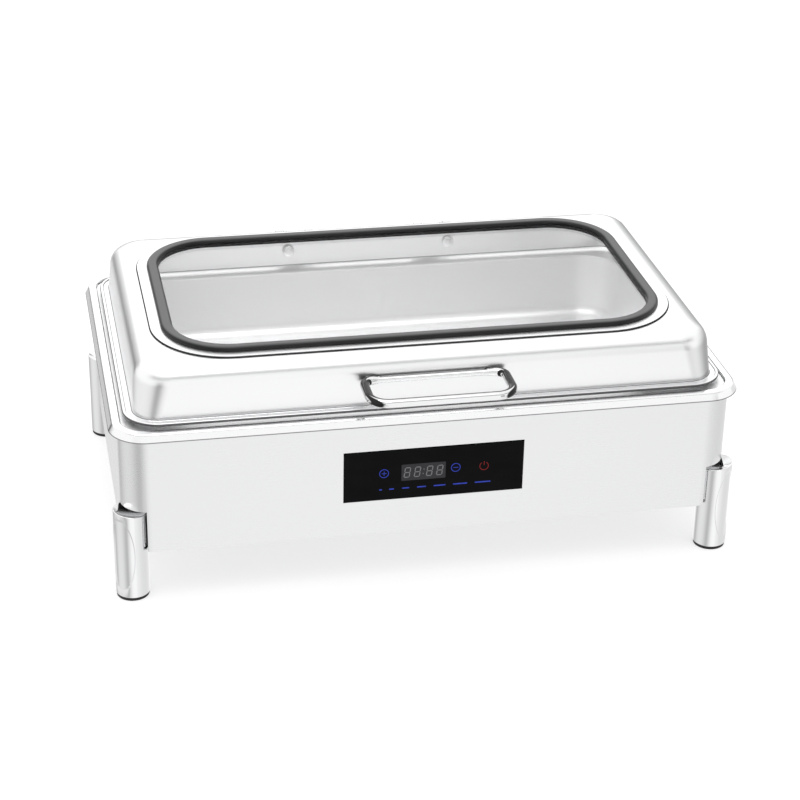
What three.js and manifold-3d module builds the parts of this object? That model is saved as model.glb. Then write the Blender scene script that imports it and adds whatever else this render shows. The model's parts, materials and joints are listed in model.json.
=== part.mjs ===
// Electric buffet server: a heated water bath on four legs, with a lift-out food pan
// and a hinged lid that has a glass window.
// Millimetres, +Z up, front toward -Y. Pieces are drawn about the middle of the
// housing, and the whole group is centred over its footprint at the end.

import * as THREE from 'three';
import { mergeVertices } from 'three/addons/utils/BufferGeometryUtils.js';
import { ParametricGeometry } from 'three/addons/geometries/ParametricGeometry.js';
import Module from 'manifold-3d';

// ---------------------------------------------------------------- driving sizes

const GAP = 0.3;                  // air left between two pieces that touch
const SLIP = 0.3;                 // clearance around a shank or pin, on the radius

// Food pan. The lid, the rim, the housing and the legs are laid out around it.
const PAN_OPEN_X = 256.5;         // opening, half width
const PAN_OPEN_Y = 148;
const PAN_CORNER = 42;
const PAN_FLANGE = 8;
const PAN_FLANGE_CORNER = 24;
const PAN_DEPTH = 65;
const PAN_DRAFT = 7;              // walls lean in by this much on each side
const PAN_SHEET = 1.2;
const PAN_FLOOR_ROUND = 12;

// Base rim: the flared steel frame around the top of the housing.
const RIM_GAP_X = 3.1;            // open groove between the lid flange and the rim band
const RIM_GAP_Y = 2.3;
const RIM_CORNER = 30;
const RIM_TOP = 170;
const RIM_DROP = 7.4;             // height of the flared edge
const RIM_FLARE = 4;              // how far that edge leans out
const RIM_BAND = 7;               // width of the flat band on top
const RIM_SHEET = 1.5;
const LEDGE_DEPTH = 3.7;          // from the band down to the ledge that holds the pans
const LEDGE_WIDTH = 7;
const RIM_LIP = 9;                // turned-down inner lip

// Housing skirt: the box wall under the rim.
const SKIRT_INSET = 3.8;          // inside the outer top edge of the rim
const SKIRT_SHEET = 1.2;
const SKIRT_BOTTOM = 48;
const SKIRT_RETURN = 10;          // bottom edge folded inward
const NOTCH_RISE = 3;             // corner notches end this far over the legs
const NOTCH_SIDE = 16;            // from the leg axis to the notch edge

// Legs and feet.
const LEG_RADIUS = 15.4;
const LEG_INSET_X = 7.6;          // leg axis inside the skirt wall
const LEG_INSET_Y = 13.2;
const LEG_TOP = 86.8;
const LEG_DISH = 3;               // hollow in the top of a leg
const LEG_EDGE = 0.8;             // flat edge around that hollow
const LEG_SLANT = 2.3;            // top of a leg, higher outside and lower inside by this
const LEG_FLAT = 9.5;             // flat face on the inner side, from the axis
const SCOOP_DEPTH = 6.4;          // chord that sets the outline of the side recess
const SCOOP_RECESS = 1;           // how deep the recess really goes
const SCOOP_HEIGHT = 76;
const SCOOP_DROP = 41;            // middle of the recess below the top of the leg
const FOOT_THICKNESS = 3;
const FOOT_INSET = 0.6;           // foot smaller than the leg, on the radius
const FOOT_STEM_RADIUS = 4.6;
const FOOT_STEM = 14;
const BRACKET_SHEET = 2.4;
const BRACKET_WIDTH = 18;
const BRACKET_DROP = 6;           // bracket below the top of the leg
const BRACKET_REACH = 50;         // tab length from the leg axis
const LEG_SCREW_DROP = 16;
const LEG_SCREW_DEPTH = 10;       // thread inside the leg

// Bottom plate.
const PLATE_SHEET = 1.2;
const PLATE_EDGE = 0.8;           // clearance to the skirt wall
const VENT_LENGTH = 34;
const VENT_WIDTH = 5;
const VENT_PITCH = 18;
const VENT_COUNT = 7;
const VENT_SPACE = 10;            // beyond the insulation pad

// Water pan.
const WELL_CLEARANCE = 4;         // around the food pan, inside the water pan
const WELL_LIFT = 24;             // underside above the bottom of the housing
const WELL_SHEET = 1.2;
const WELL_FLOOR_ROUND = 14;

// Heater, under the water pan.
const HEAT_PLATE_MARGIN_X = 71.5; // inside the pan opening
const HEAT_PLATE_MARGIN_Y = 60;
const HEAT_PLATE_SHEET = 2.5;
const ELEMENT_RADIUS = 3.4;
const ELEMENT_SIDE = 30;          // runs inside the edge of the heat plate
const ELEMENT_END = 10;
const CLAMP_SHEET = 1.6;
const CLAMP_WIDTH = 16;
const CLAMP_OVERHANG = 12;        // beyond the element runs
const STUD_RADIUS = 2.5;
const STUD_PROUD = 0.5;           // stud end below the nut
const NUT_RADIUS = 4.6;
const NUT_HEIGHT = 3.5;
const SENSOR_X = 60;
const CUTOUT_RADIUS = 8;
const CUTOUT_HEIGHT = 8;
const PROBE_RADIUS = 5;
const PROBE_HEIGHT = 7;
const INSULATION_MARGIN_X = 41.5; // inside the pan opening
const INSULATION_MARGIN_Y = 30;
const INSULATION_HEIGHT = 4.6;

// Control panel on the front.
const PANEL_HALF_X = 83;
const PANEL_HALF_Z = 25.1;
const PANEL_DROP = 61.4;          // middle of the panel below the rim
const PANEL_THICKNESS = 3;
const PANEL_PROUD = 1.1;          // stands out of the skirt
const PANEL_BEVEL = 0.6;
const PANEL_CLEARANCE = 0.4;
const CARRIER_MARGIN = 9;
const CARRIER_THICKNESS = 3.7;
const CARRIER_POST = 4.4;
const POST_RADIUS = 3;
const DISPLAY_X = -10;
const DISPLAY_RISE = 2.2;         // above the middle of the panel
const DISPLAY_HALF_X = 21;
const DISPLAY_HALF_Z = 10;
const DISPLAY_DEPTH = 6.5;
const BOARD_SHEET = 1.6;
const TOUCH_BOARD_MARGIN = 5;     // inside the panel outline
const POWER_BOARD_SPACE = 20;     // from the panel carrier
const POWER_BOARD_DROP = 54;      // middle of the board below the rim
const POWER_BOARD_HALF_X = 46;
const POWER_BOARD_HALF_Z = 30;
const POWER_STANDOFF = 4;

// Mains inlet on the rear.
const INLET_FROM_SIDE = 92.2;     // from the left wall of the skirt
const INLET_RISE = 34;            // above the bottom of the housing
const INLET_HALF_X = 13.5;
const INLET_HALF_Z = 10;
const INLET_FLANGE = 4;
const INLET_FLANGE_SHEET = 2;
const INLET_DEPTH = 18;
const INLET_WALL = 1.6;
const INLET_FLOOR = 3;
const INLET_PIN = 10;

// Lid.
const LID_CLEAR_X = 2.5;          // from the pan flange to the outer face of the lid wall
const LID_CLEAR_Y = 3.8;
const LID_CORNER = 24;
const LID_TOP_CORNER = 34;
const LID_SHEET = 1.2;
const LID_FLANGE = 8.9;
const LID_FLANGE_HEIGHT = 2.6;
const LID_SEAT = 1.2;             // lid flange above the rim band
const LID_FILLET = 4.2;           // hollow curve from the flange up to the wall
const LID_DRAFT = 3;
const LID_RISE = 49.3;            // top of the shoulder above the rim
const LID_SHOULDER = 16;
const BEZEL_RISE = 1.5;
const BUMPER_RADIUS = 3.4;
const BUMPER_FROM_FRONT = 39.8;
const BUMPER_FROM_REAR = 99.8;

// Window in the lid.
const WINDOW_INSET_X = 32.9;      // from the lid wall foot to the seal
const WINDOW_INSET_Y = 29.8;
const WINDOW_CORNER = 63;
const SEAL_WIDTH = 11.2;
const SEAL_HEIGHT = 4.2;
const SEAL_LIP = 4.4;             // seal over the glass edge
const SEAL_WEB = 2.4;
const SEAL_SKIN = 1.5;
const BEZEL_WIDTH = 9.2;
const GLASS_THICKNESS = 4;

// Handle on the front of the lid.
const HANDLE_HALF_X = 64.5;        // to the middle of the rod
const HANDLE_REACH = 52;          // from the lid wall to the middle of the front rod
const HANDLE_RADIUS = 4.1;
const HANDLE_BACK_RADIUS = 2.8;
const HANDLE_STANDOFF = 4.8;      // wall to the middle of the back bar
const HANDLE_CORNER = 17;
const HANDLE_BACK_CORNER = 9;
const HANDLE_RISE = 29;           // above the rim
const HANDLE_SCREW_X = 50;

// Hinges.
const HINGE_X = 71;               // middle of a hinge
const HINGE_BEHIND = 5;           // hinge axis behind the flared rim
const HINGE_RISE = 26;            // and above the rim
const BARREL_RADIUS = 6;
const BARREL_HALF = 9.5;          // lid barrel, half length
const BARREL_DROP = 1.5;          // top of the bracket plate below the barrels
const EAR_LENGTH = 8;
const EAR_THIN = 2.5;             // outer ear, beside the damper
const DAMPER_LENGTH = 8.5;
const DAMPER_RADIUS = 6.8;
const PIN_RADIUS = 2.5;
const HINGE_SHEET = 2.5;
const HINGE_FOOT = 32;            // height of the foot on the skirt
const HINGE_FOOT_DROP = 6.6;      // foot below the flared edge of the rim
const HINGE_HALF = 20;            // half width of a hinge
const LEAF_SHEET = 2;
const LEAF_BELOW = 15;            // leaf below and above the hinge axis
const LEAF_ABOVE = 5;
const ARM_THICKNESS = 5;
const RIVET_SIDE = 12;            // outward from the middle of the hinge
const RIVET_DROP = 6;             // below the hinge axis
const RIVET_HEAD = 6;
const RIVET_SHANK = 2;

// Fasteners.
const SCREW_SHANK = 2.2;
const SCREW_HEAD = 4.4;
const SCREW_HEAD_HEIGHT = 2.6;

// Facets.
const CORNER_STEPS = 6;
const ROUND = 20;
const SMALL_ROUND = 10;
const SCREW_ROUND = 8;

// ---------------------------------------------------------------- worked-out places

const LID_HALF_X = PAN_OPEN_X + PAN_FLANGE + LID_CLEAR_X;
const LID_HALF_Y = PAN_OPEN_Y + PAN_FLANGE + LID_CLEAR_Y;
const LID_TOP = RIM_TOP + LID_RISE;
const RIM_HALF_X = LID_HALF_X + LID_FLANGE + RIM_GAP_X + RIM_BAND;
const RIM_HALF_Y = LID_HALF_Y + LID_FLANGE + RIM_GAP_Y + RIM_BAND;
const rimLow = RIM_TOP - RIM_DROP;
const ledgeTop = RIM_TOP - LEDGE_DEPTH;
const skirtX = RIM_HALF_X - SKIRT_INSET;
const skirtY = RIM_HALF_Y - SKIRT_INSET;
const skirtCorner = RIM_CORNER - SKIRT_INSET;
const skirtTop = RIM_TOP - RIM_SHEET - GAP;
const LEG_X = skirtX - LEG_INSET_X;
const LEG_Y = skirtY - LEG_INSET_Y;
const NOTCH_TOP = LEG_TOP + NOTCH_RISE;
const BRACKET_TOP = LEG_TOP - BRACKET_DROP;
const LEG_SCREW_Z = LEG_TOP - LEG_SCREW_DROP;
const wellFlangeLow = ledgeTop + GAP;
const wellFlangeTop = wellFlangeLow + WELL_SHEET;
const panFlangeLow = wellFlangeTop + GAP;
const panTop = panFlangeLow + PAN_SHEET;
const plateLow = SKIRT_BOTTOM + SKIRT_SHEET + GAP;
const plateTop = plateLow + PLATE_SHEET;
const WELL_FLOOR = SKIRT_BOTTOM + WELL_LIFT;
const HEAT_PLATE_X = PAN_OPEN_X - HEAT_PLATE_MARGIN_X;
const HEAT_PLATE_Y = PAN_OPEN_Y - HEAT_PLATE_MARGIN_Y;
const INSULATION_X = PAN_OPEN_X - INSULATION_MARGIN_X;
const INSULATION_Y = PAN_OPEN_Y - INSULATION_MARGIN_Y;
const VENT_X = INSULATION_X + VENT_SPACE + VENT_LENGTH / 2;
const elementY = HEAT_PLATE_Y - ELEMENT_SIDE;
const elementEnd = HEAT_PLATE_X - ELEMENT_END;
const bendX = -(elementEnd - elementY);
const heatPlateTop = WELL_FLOOR - GAP;
const heatPlateLow = heatPlateTop - HEAT_PLATE_SHEET;
const elementZ = heatPlateLow - GAP - ELEMENT_RADIUS;
const clampTop = elementZ - ELEMENT_RADIUS - GAP;
const clampLow = clampTop - CLAMP_SHEET;
const nutLow = clampLow - GAP - NUT_HEIGHT;
const PANEL_Z = RIM_TOP - PANEL_DROP;
const DISPLAY_Z = PANEL_Z + DISPLAY_RISE;
const POWER_BOARD_X = PANEL_HALF_X + CARRIER_MARGIN + POWER_BOARD_SPACE + POWER_BOARD_HALF_X;
const POWER_BOARD_Z = RIM_TOP - POWER_BOARD_DROP;
const INLET_X = -(skirtX - INLET_FROM_SIDE);
const INLET_Z = SKIRT_BOTTOM + INLET_RISE;
const panelFront = -skirtY - PANEL_PROUD;
const panelBack = panelFront + PANEL_THICKNESS;
const skirtInsideY = skirtY - SKIRT_SHEET;
const lidLow = RIM_TOP + LID_SEAT;
const flangeTop = lidLow + LID_FLANGE_HEIGHT;
const wallLow = flangeTop + LID_FILLET;
const wallHigh = LID_TOP - LID_SHOULDER;
const bezelTop = LID_TOP + BEZEL_RISE;
const sealX = LID_HALF_X - WINDOW_INSET_X;
const sealY = LID_HALF_Y - WINDOW_INSET_Y;
const glassInset = SEAL_WIDTH - SEAL_LIP + GAP;
const glassTop = bezelTop - GAP - 0.2;
const glassLow = glassTop - GLASS_THICKNESS;
const holeInset = glassInset - SEAL_WEB - 2 * GAP;
const HANDLE_Z = RIM_TOP + HANDLE_RISE;
const HINGE_Y = RIM_HALF_Y + RIM_FLARE + HINGE_BEHIND;
const HINGE_Z = RIM_TOP + HINGE_RISE;
const HINGE_FOOT_HIGH = rimLow - HINGE_FOOT_DROP;
const HINGE_FOOT_LOW = HINGE_FOOT_HIGH - HINGE_FOOT;
const LEAF_LOW = HINGE_Z - LEAF_BELOW;
const LEAF_HIGH = HINGE_Z + LEAF_ABOVE;
const RIVET_X = HINGE_X + RIVET_SIDE;
const RIVET_Z = HINGE_Z - RIVET_DROP;

// Outer face of the lid wall, inward from its foot, at a height on the straight wall.
function wallLean(z) {
  return LID_DRAFT * (z - wallLow) / (wallHigh - wallLow);
}

// ---------------------------------------------------------------- materials

function metal(color, roughness) {
  return new THREE.MeshStandardMaterial({ color, roughness, metalness: 1 });
}

function plain(color, roughness) {
  return new THREE.MeshStandardMaterial({ color, roughness, metalness: 0 });
}

const satinSteel = metal(0xd9dadb, 0.32);
const panSteel = metal(0xdcdddd, 0.25);
const chrome = metal(0xeceeef, 0.06);
const zincSteel = metal(0xb9bbbd, 0.4);
const aluminium = metal(0xc9cbcc, 0.45);
const blackRubber = plain(0x151515, 0.75);
const blackGlass = plain(0x050607, 0.08);
const blackPlastic = plain(0x1b1b1c, 0.5);
const boardGreen = plain(0x1f5a3a, 0.6);
const whiteWool = plain(0xe6e2d8, 0.95);
const clearGlass = new THREE.MeshStandardMaterial({
  color: 0xe4ecec, roughness: 0.03, metalness: 0, transparent: true, opacity: 0.35,
});

// ---------------------------------------------------------------- solids

const wasm = await Module();
wasm.setup();

const server = new THREE.Group();

// Merged corners and no flat triangles, which is what a closed solid needs.
function closedMesh(geometry) {
  const bare = geometry.clone();
  bare.deleteAttribute('normal');
  bare.deleteAttribute('uv');
  const merged = mergeVertices(bare, 1e-4);
  const index = merged.index.array;
  const kept = [];
  for (let i = 0; i < index.length; i += 3) {
    const [a, b, c] = index.slice(i, i + 3);
    if (a !== b && b !== c && c !== a) kept.push(a, b, c);
  }
  merged.setIndex(kept);
  return merged;
}

function toSolid(geometry) {
  const closed = closedMesh(geometry);
  return new wasm.Manifold(new wasm.Mesh({
    numProp: 3,
    vertProperties: new Float32Array(closed.attributes.position.array),
    triVerts: new Uint32Array(closed.index.array),
  }));
}

function toGeometry(solid) {
  const mesh = solid.getMesh();
  const geometry = new THREE.BufferGeometry();
  geometry.setAttribute('position', new THREE.BufferAttribute(mesh.vertProperties, 3));
  geometry.setIndex(new THREE.BufferAttribute(mesh.triVerts, 1));
  geometry.computeVertexNormals();
  return geometry;
}

function joined(...geometries) {
  const solids = geometries.map(toSolid);
  return toGeometry(solids.reduce((whole, next) => whole.add(next)));
}

function cut(geometry, ...tools) {
  const solids = tools.map(toSolid);
  return toGeometry(solids.reduce((whole, tool) => whole.subtract(tool), toSolid(geometry)));
}

function addPiece(name, geometry, material) {
  const closed = closedMesh(geometry);
  closed.computeVertexNormals();
  const mesh = new THREE.Mesh(closed, material);
  mesh.name = name;
  server.add(mesh);
  return mesh;
}

// Box from its lowest to its highest corner.
function block(low, high) {
  const size = high.map((value, axis) => value - low[axis]);
  const middle = high.map((value, axis) => (value + low[axis]) / 2);
  return new THREE.BoxGeometry(...size).translate(...middle);
}

// Round bar between two points.
function bar(radius, from, to, sides = SMALL_ROUND) {
  const start = new THREE.Vector3(...from);
  const along = new THREE.Vector3(...to).sub(start);
  const turn = new THREE.Quaternion().setFromUnitVectors(
    new THREE.Vector3(0, 1, 0), along.clone().normalize());
  const middle = start.addScaledVector(along, 0.5);
  return new THREE.CylinderGeometry(radius, radius, along.length(), sides)
    .applyQuaternion(turn)
    .translate(middle.x, middle.y, middle.z);
}

// Turned piece about Z, from its outline of [radius, height] points, axis to axis.
function turned(outline, sides = ROUND) {
  const points = outline.map(([radius, height]) => new THREE.Vector2(radius, height));
  return new THREE.LatheGeometry(points, sides).rotateX(Math.PI / 2);
}

function outlineShape(points) {
  return new THREE.Shape(points.map(([a, b]) => new THREE.Vector2(a, b)));
}

// An outline in Y and Z, drawn out along X.
function prismX(points, fromX, toX) {
  const axes = new THREE.Matrix4().makeBasis(
    new THREE.Vector3(0, 1, 0), new THREE.Vector3(0, 0, 1), new THREE.Vector3(1, 0, 0));
  return new THREE.ExtrudeGeometry(outlineShape(points), {
    depth: toX - fromX, bevelEnabled: false,
  }).applyMatrix4(axes).translate(fromX, 0, 0);
}

function roundedRectangle(halfX, halfY, corner) {
  const shape = new THREE.Shape();
  shape.absarc(halfX - corner, halfY - corner, corner, 0, Math.PI / 2);
  shape.absarc(-halfX + corner, halfY - corner, corner, Math.PI / 2, Math.PI);
  shape.absarc(-halfX + corner, -halfY + corner, corner, Math.PI, Math.PI * 1.5);
  shape.absarc(halfX - corner, -halfY + corner, corner, Math.PI * 1.5, Math.PI * 2);
  return shape;
}

// Flat plate with round corners, lying in X and Y.
function roundedPlate(halfX, halfY, corner, low, high) {
  return new THREE.ExtrudeGeometry(roundedRectangle(halfX, halfY, corner), {
    depth: high - low, bevelEnabled: false, curveSegments: CORNER_STEPS / 2,
  }).translate(0, 0, low);
}

// One point on a rounded rectangle, by its place in the round of corner steps.
function rectanglePoint({ x, y, corner, z }, place) {
  const perCorner = CORNER_STEPS + 1;
  const step = place % (4 * perCorner);
  const quarter = Math.floor(step / perCorner);
  const angle = (quarter + (step - quarter * perCorner) / CORNER_STEPS) * Math.PI / 2;
  const signX = quarter === 0 || quarter === 3 ? 1 : -1;
  const signY = quarter < 2 ? 1 : -1;
  return new THREE.Vector3(
    signX * (x - corner) + corner * Math.cos(angle),
    signY * (y - corner) + corner * Math.sin(angle),
    z,
  );
}

// Pressed sheet: a section that runs around a rounded rectangle. Each ring of the
// section has a half width x, a half depth y, a corner radius and a height z. The
// section goes up its outside and down its inside.
function pressed(rings) {
  const places = 4 * (CORNER_STEPS + 1);
  const surface = (u, v, target) => {
    const place = Math.round(u * places);
    const row = v * (rings.length - 1);
    const lower = Math.min(Math.floor(row + 1e-6), rings.length - 2);
    const from = rectanglePoint(rings[lower], place);
    const to = rectanglePoint(rings[lower + 1], place);
    target.copy(from).lerp(to, row - lower);
  };
  return new ParametricGeometry(surface, places, rings.length - 1);
}

// The same section around and around, closed on itself.
function pressedRing(halfX, halfY, corner, section) {
  const rings = section.map(([out, z, radius = corner + out]) => (
    { x: halfX + out, y: halfY + out, corner: Math.max(radius, 0.4), z }));
  return pressed([...rings, rings[0]]);
}

// Quarter round in a section: from angle to angle about a middle, in equal steps.
function quarter(middleOut, middleZ, radius, fromAngle, toAngle, steps) {
  return Array.from({ length: steps + 1 }, (_, i) => {
    const angle = fromAngle + (toAngle - fromAngle) * i / steps;
    return [middleOut + radius * Math.cos(angle), middleZ + radius * Math.sin(angle)];
  });
}

// ---------------------------------------------------------------- housing

function baseRim() {
  const flange = RIM_BAND - RIM_SHEET;
  const lipOut = -(RIM_BAND + LEDGE_WIDTH);
  return pressedRing(RIM_HALF_X, RIM_HALF_Y, RIM_CORNER, [
    [RIM_FLARE, rimLow],
    [0.4, RIM_TOP - 0.7],
    [-0.5, RIM_TOP],
    [-RIM_BAND, RIM_TOP],
    [-RIM_BAND, ledgeTop],
    [lipOut, ledgeTop],
    [lipOut, ledgeTop - RIM_LIP],
    [lipOut + RIM_SHEET, ledgeTop - RIM_LIP],
    [lipOut + RIM_SHEET, ledgeTop - RIM_SHEET],
    [-flange, ledgeTop - RIM_SHEET],
    [-flange, RIM_TOP - RIM_SHEET],
    [-0.9, RIM_TOP - RIM_SHEET],
    [RIM_FLARE - RIM_SHEET, rimLow],
  ]);
}

function housingSkirt() {
  const wall = pressedRing(skirtX, skirtY, skirtCorner, [
    [-0.6, SKIRT_BOTTOM],
    [0, SKIRT_BOTTOM + 0.6],
    [0, skirtTop],
    [-SKIRT_SHEET, skirtTop],
    [-SKIRT_SHEET, SKIRT_BOTTOM + SKIRT_SHEET],
    [-SKIRT_RETURN, SKIRT_BOTTOM + SKIRT_SHEET],
    [-SKIRT_RETURN, SKIRT_BOTTOM],
  ]);
  const tools = [];
  for (const sideX of [-1, 1]) {
    for (const sideY of [-1, 1]) {
      const inner = [sideX * (LEG_X - NOTCH_SIDE), sideY * (LEG_Y - NOTCH_SIDE)];
      const outer = [sideX * (skirtX + 5), sideY * (skirtY + 5)];
      tools.push(block(
        [Math.min(inner[0], outer[0]), Math.min(inner[1], outer[1]), SKIRT_BOTTOM - 5],
        [Math.max(inner[0], outer[0]), Math.max(inner[1], outer[1]), NOTCH_TOP]));
    }
    for (const z of hingeScrewHeights()) {
      const x = sideX * HINGE_X;
      tools.push(bar(SCREW_SHANK + SLIP, [x, skirtY - 8, z], [x, skirtY + 4, z]));
    }
  }
  const opening = PANEL_CLEARANCE;
  tools.push(block(
    [-PANEL_HALF_X - opening, -skirtY - 5, PANEL_Z - PANEL_HALF_Z - opening],
    [PANEL_HALF_X + opening, -skirtY + 5, PANEL_Z + PANEL_HALF_Z + opening]));
  tools.push(block(
    [INLET_X - INLET_HALF_X - GAP, skirtY - 5, INLET_Z - INLET_HALF_Z - GAP],
    [INLET_X + INLET_HALF_X + GAP, skirtY + 5, INLET_Z + INLET_HALF_Z + GAP]));
  return cut(wall, ...tools);
}

function bottomPlate() {
  const edge = SKIRT_SHEET + PLATE_EDGE;
  const plate = roundedPlate(
    skirtX - edge, skirtY - edge, skirtCorner - edge, plateLow, plateTop);
  const tools = [];
  for (const sideX of [-1, 1]) {
    for (const sideY of [-1, 1]) {
      const inner = [sideX * (LEG_X - NOTCH_SIDE), sideY * (LEG_Y - NOTCH_SIDE)];
      const outer = [sideX * (skirtX + 5), sideY * (skirtY + 5)];
      tools.push(block(
        [Math.min(inner[0], outer[0]), Math.min(inner[1], outer[1]), plateLow - 5],
        [Math.max(inner[0], outer[0]), Math.max(inner[1], outer[1]), plateTop + 5]));
    }
    for (let i = 0; i < VENT_COUNT; i += 1) {
      const y = (i - (VENT_COUNT - 1) / 2) * VENT_PITCH;
      const x = sideX * VENT_X;
      tools.push(block(
        [x - VENT_LENGTH / 2, y - VENT_WIDTH / 2, plateLow - 5],
        [x + VENT_LENGTH / 2, y + VENT_WIDTH / 2, plateTop + 5]));
    }
  }
  return cut(plate, ...tools);
}

addPiece('housing_skirt', housingSkirt(), satinSteel);
addPiece('base_rim', baseRim(), satinSteel);
addPiece('bottom_plate', bottomPlate(), zincSteel);

// ---------------------------------------------------------------- pans

// Deep-drawn pan with an open top, from its opening, flange, floor and corner sizes.
function drawnPan(pan) {
  const { openX, openY, corner, flange, flangeCorner, top, floor, draft, sheet, round } = pan;
  const ring = (out, z, radius) => (
    { x: openX + out, y: openY + out, corner: radius ?? corner + out, z });
  const middle = (z) => ({ x: 0, y: 0, corner: 0, z });
  const outside = quarter(-draft - round + sheet, floor + round, round, -Math.PI / 2, 0, 3);
  const inside = quarter(
    -draft - round + sheet, floor + round, round - sheet, 0, -Math.PI / 2, 3);
  return pressed([
    middle(floor),
    ...outside.map(([out, z]) => ring(out, z)),
    ring(sheet, top - 3 * sheet),
    ring(sheet + 0.6, top - sheet),
    ring(flange, top - sheet, flangeCorner),
    ring(flange, top, flangeCorner),
    ring(0.8, top),
    ring(0, top - 1.5 * sheet),
    ...inside.map(([out, z]) => ring(out, z)),
    middle(floor + sheet),
  ]);
}

const wellOpenX = PAN_OPEN_X + PAN_SHEET + WELL_CLEARANCE;
const wellOpenY = PAN_OPEN_Y + PAN_SHEET + WELL_CLEARANCE;
const wellFlange = RIM_HALF_X - RIM_BAND - 2 * GAP - wellOpenX;

addPiece('water_pan', drawnPan({
  openX: wellOpenX,
  openY: wellOpenY,
  corner: PAN_CORNER + WELL_CLEARANCE,
  flange: wellFlange,
  flangeCorner: RIM_CORNER - RIM_BAND,
  top: wellFlangeTop,
  floor: WELL_FLOOR,
  draft: PAN_DRAFT,
  sheet: WELL_SHEET,
  round: WELL_FLOOR_ROUND,
}), panSteel);

addPiece('food_pan', drawnPan({
  openX: PAN_OPEN_X,
  openY: PAN_OPEN_Y,
  corner: PAN_CORNER,
  flange: PAN_FLANGE,
  flangeCorner: PAN_FLANGE_CORNER,
  top: panTop,
  floor: panTop - PAN_DEPTH,
  draft: PAN_DRAFT,
  sheet: PAN_SHEET,
  round: PAN_FLOOR_ROUND,
}), panSteel);

// ---------------------------------------------------------------- heater

addPiece('heat_plate', joined(
  roundedPlate(HEAT_PLATE_X, HEAT_PLATE_Y, 12, heatPlateLow, heatPlateTop),
  bar(STUD_RADIUS, [0, 0, nutLow - STUD_PROUD], [0, 0, heatPlateLow + 1]),
), aluminium);

function heatingElement() {
  const path = new THREE.CurvePath();
  const bend = [];
  for (let i = 0; i <= 12; i += 1) {
    const angle = -Math.PI / 2 - Math.PI * i / 12;
    bend.push(new THREE.Vector3(
      bendX + elementY * Math.cos(angle),
      elementY * Math.sin(angle),
      elementZ));
  }
  path.add(new THREE.LineCurve3(
    new THREE.Vector3(elementEnd, -elementY, elementZ), bend[0]));
  path.add(new THREE.CatmullRomCurve3(bend));
  path.add(new THREE.LineCurve3(
    bend[12], new THREE.Vector3(elementEnd, elementY, elementZ)));
  const section = new THREE.Shape();
  section.absarc(0, 0, ELEMENT_RADIUS, 0, Math.PI * 2);
  return new THREE.ExtrudeGeometry(section, {
    extrudePath: path, steps: 36, curveSegments: 3, bevelEnabled: false,
  });
}

addPiece('heating_element', heatingElement(), zincSteel);

const clampReach = elementY + CLAMP_OVERHANG;

addPiece('element_clamp', cut(
  block([-CLAMP_WIDTH / 2, -clampReach, clampLow], [CLAMP_WIDTH / 2, clampReach, clampTop]),
  bar(STUD_RADIUS + SLIP, [0, 0, clampLow - 2], [0, 0, clampTop + 2]),
), zincSteel);

addPiece('clamp_nut', cut(
  bar(NUT_RADIUS, [0, 0, nutLow], [0, 0, nutLow + NUT_HEIGHT], 6),
  bar(STUD_RADIUS + SLIP, [0, 0, nutLow - 2], [0, 0, nutLow + NUT_HEIGHT + 2]),
), zincSteel);

// Disc pressed against the heat plate, with two flat tags.
function plateSensor(x, radius, height) {
  const top = heatPlateLow - GAP;
  const tag = (y) => block([x - 1.6, y - 0.6, top - height - 5], [x + 1.6, y + 0.6, top - height + 1]);
  return joined(
    bar(radius, [x, 0, top - height], [x, 0, top], SMALL_ROUND),
    tag(-radius / 2),
    tag(radius / 2),
  );
}

addPiece('thermal_cutout', plateSensor(-SENSOR_X, CUTOUT_RADIUS, CUTOUT_HEIGHT), blackPlastic);
addPiece('temperature_sensor', plateSensor(SENSOR_X, PROBE_RADIUS, PROBE_HEIGHT), zincSteel);

addPiece('insulation_pad', roundedPlate(
  INSULATION_X, INSULATION_Y, 10, plateTop + GAP, plateTop + GAP + INSULATION_HEIGHT),
whiteWool);

// ---------------------------------------------------------------- controls

function panelGlass() {
  const shape = roundedRectangle(
    PANEL_HALF_X - PANEL_BEVEL, PANEL_HALF_Z - PANEL_BEVEL, 1.2);
  return new THREE.ExtrudeGeometry(shape, {
    depth: PANEL_THICKNESS - 2 * PANEL_BEVEL,
    bevelThickness: PANEL_BEVEL,
    bevelSize: PANEL_BEVEL,
    bevelSegments: 1,
    curveSegments: 2,
  }).rotateX(Math.PI / 2).translate(0, panelBack - PANEL_BEVEL, PANEL_Z);
}

addPiece('control_panel_glass', panelGlass(), blackGlass);

const carrierFront = -skirtInsideY + GAP;
const carrierBack = carrierFront + CARRIER_THICKNESS;
const postBack = carrierBack + CARRIER_POST;

function panelCarrier() {
  const halfX = PANEL_HALF_X + CARRIER_MARGIN;
  const halfZ = PANEL_HALF_Z + CARRIER_MARGIN;
  const postX = PANEL_HALF_X - 12;
  const postZ = PANEL_HALF_Z - 9;
  const posts = [[-1, -1], [-1, 1], [1, -1], [1, 1]].map(([sideX, sideZ]) => bar(
    POST_RADIUS,
    [sideX * postX, carrierBack - 1, PANEL_Z + sideZ * postZ],
    [sideX * postX, postBack, PANEL_Z + sideZ * postZ]));
  const plate = block(
    [-halfX, carrierFront, PANEL_Z - halfZ], [halfX, carrierBack, PANEL_Z + halfZ]);
  return cut(
    joined(plate, ...posts),
    block(
      [-PANEL_HALF_X - GAP, carrierFront - 2, PANEL_Z - PANEL_HALF_Z - GAP],
      [PANEL_HALF_X + GAP, panelBack + GAP, PANEL_Z + PANEL_HALF_Z + GAP]),
    block(
      [DISPLAY_X - DISPLAY_HALF_X - GAP, carrierFront - 2, DISPLAY_Z - DISPLAY_HALF_Z - GAP],
      [DISPLAY_X + DISPLAY_HALF_X + GAP, carrierBack + 2, DISPLAY_Z + DISPLAY_HALF_Z + GAP]),
  );
}

addPiece('panel_carrier', panelCarrier(), blackPlastic);

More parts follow.
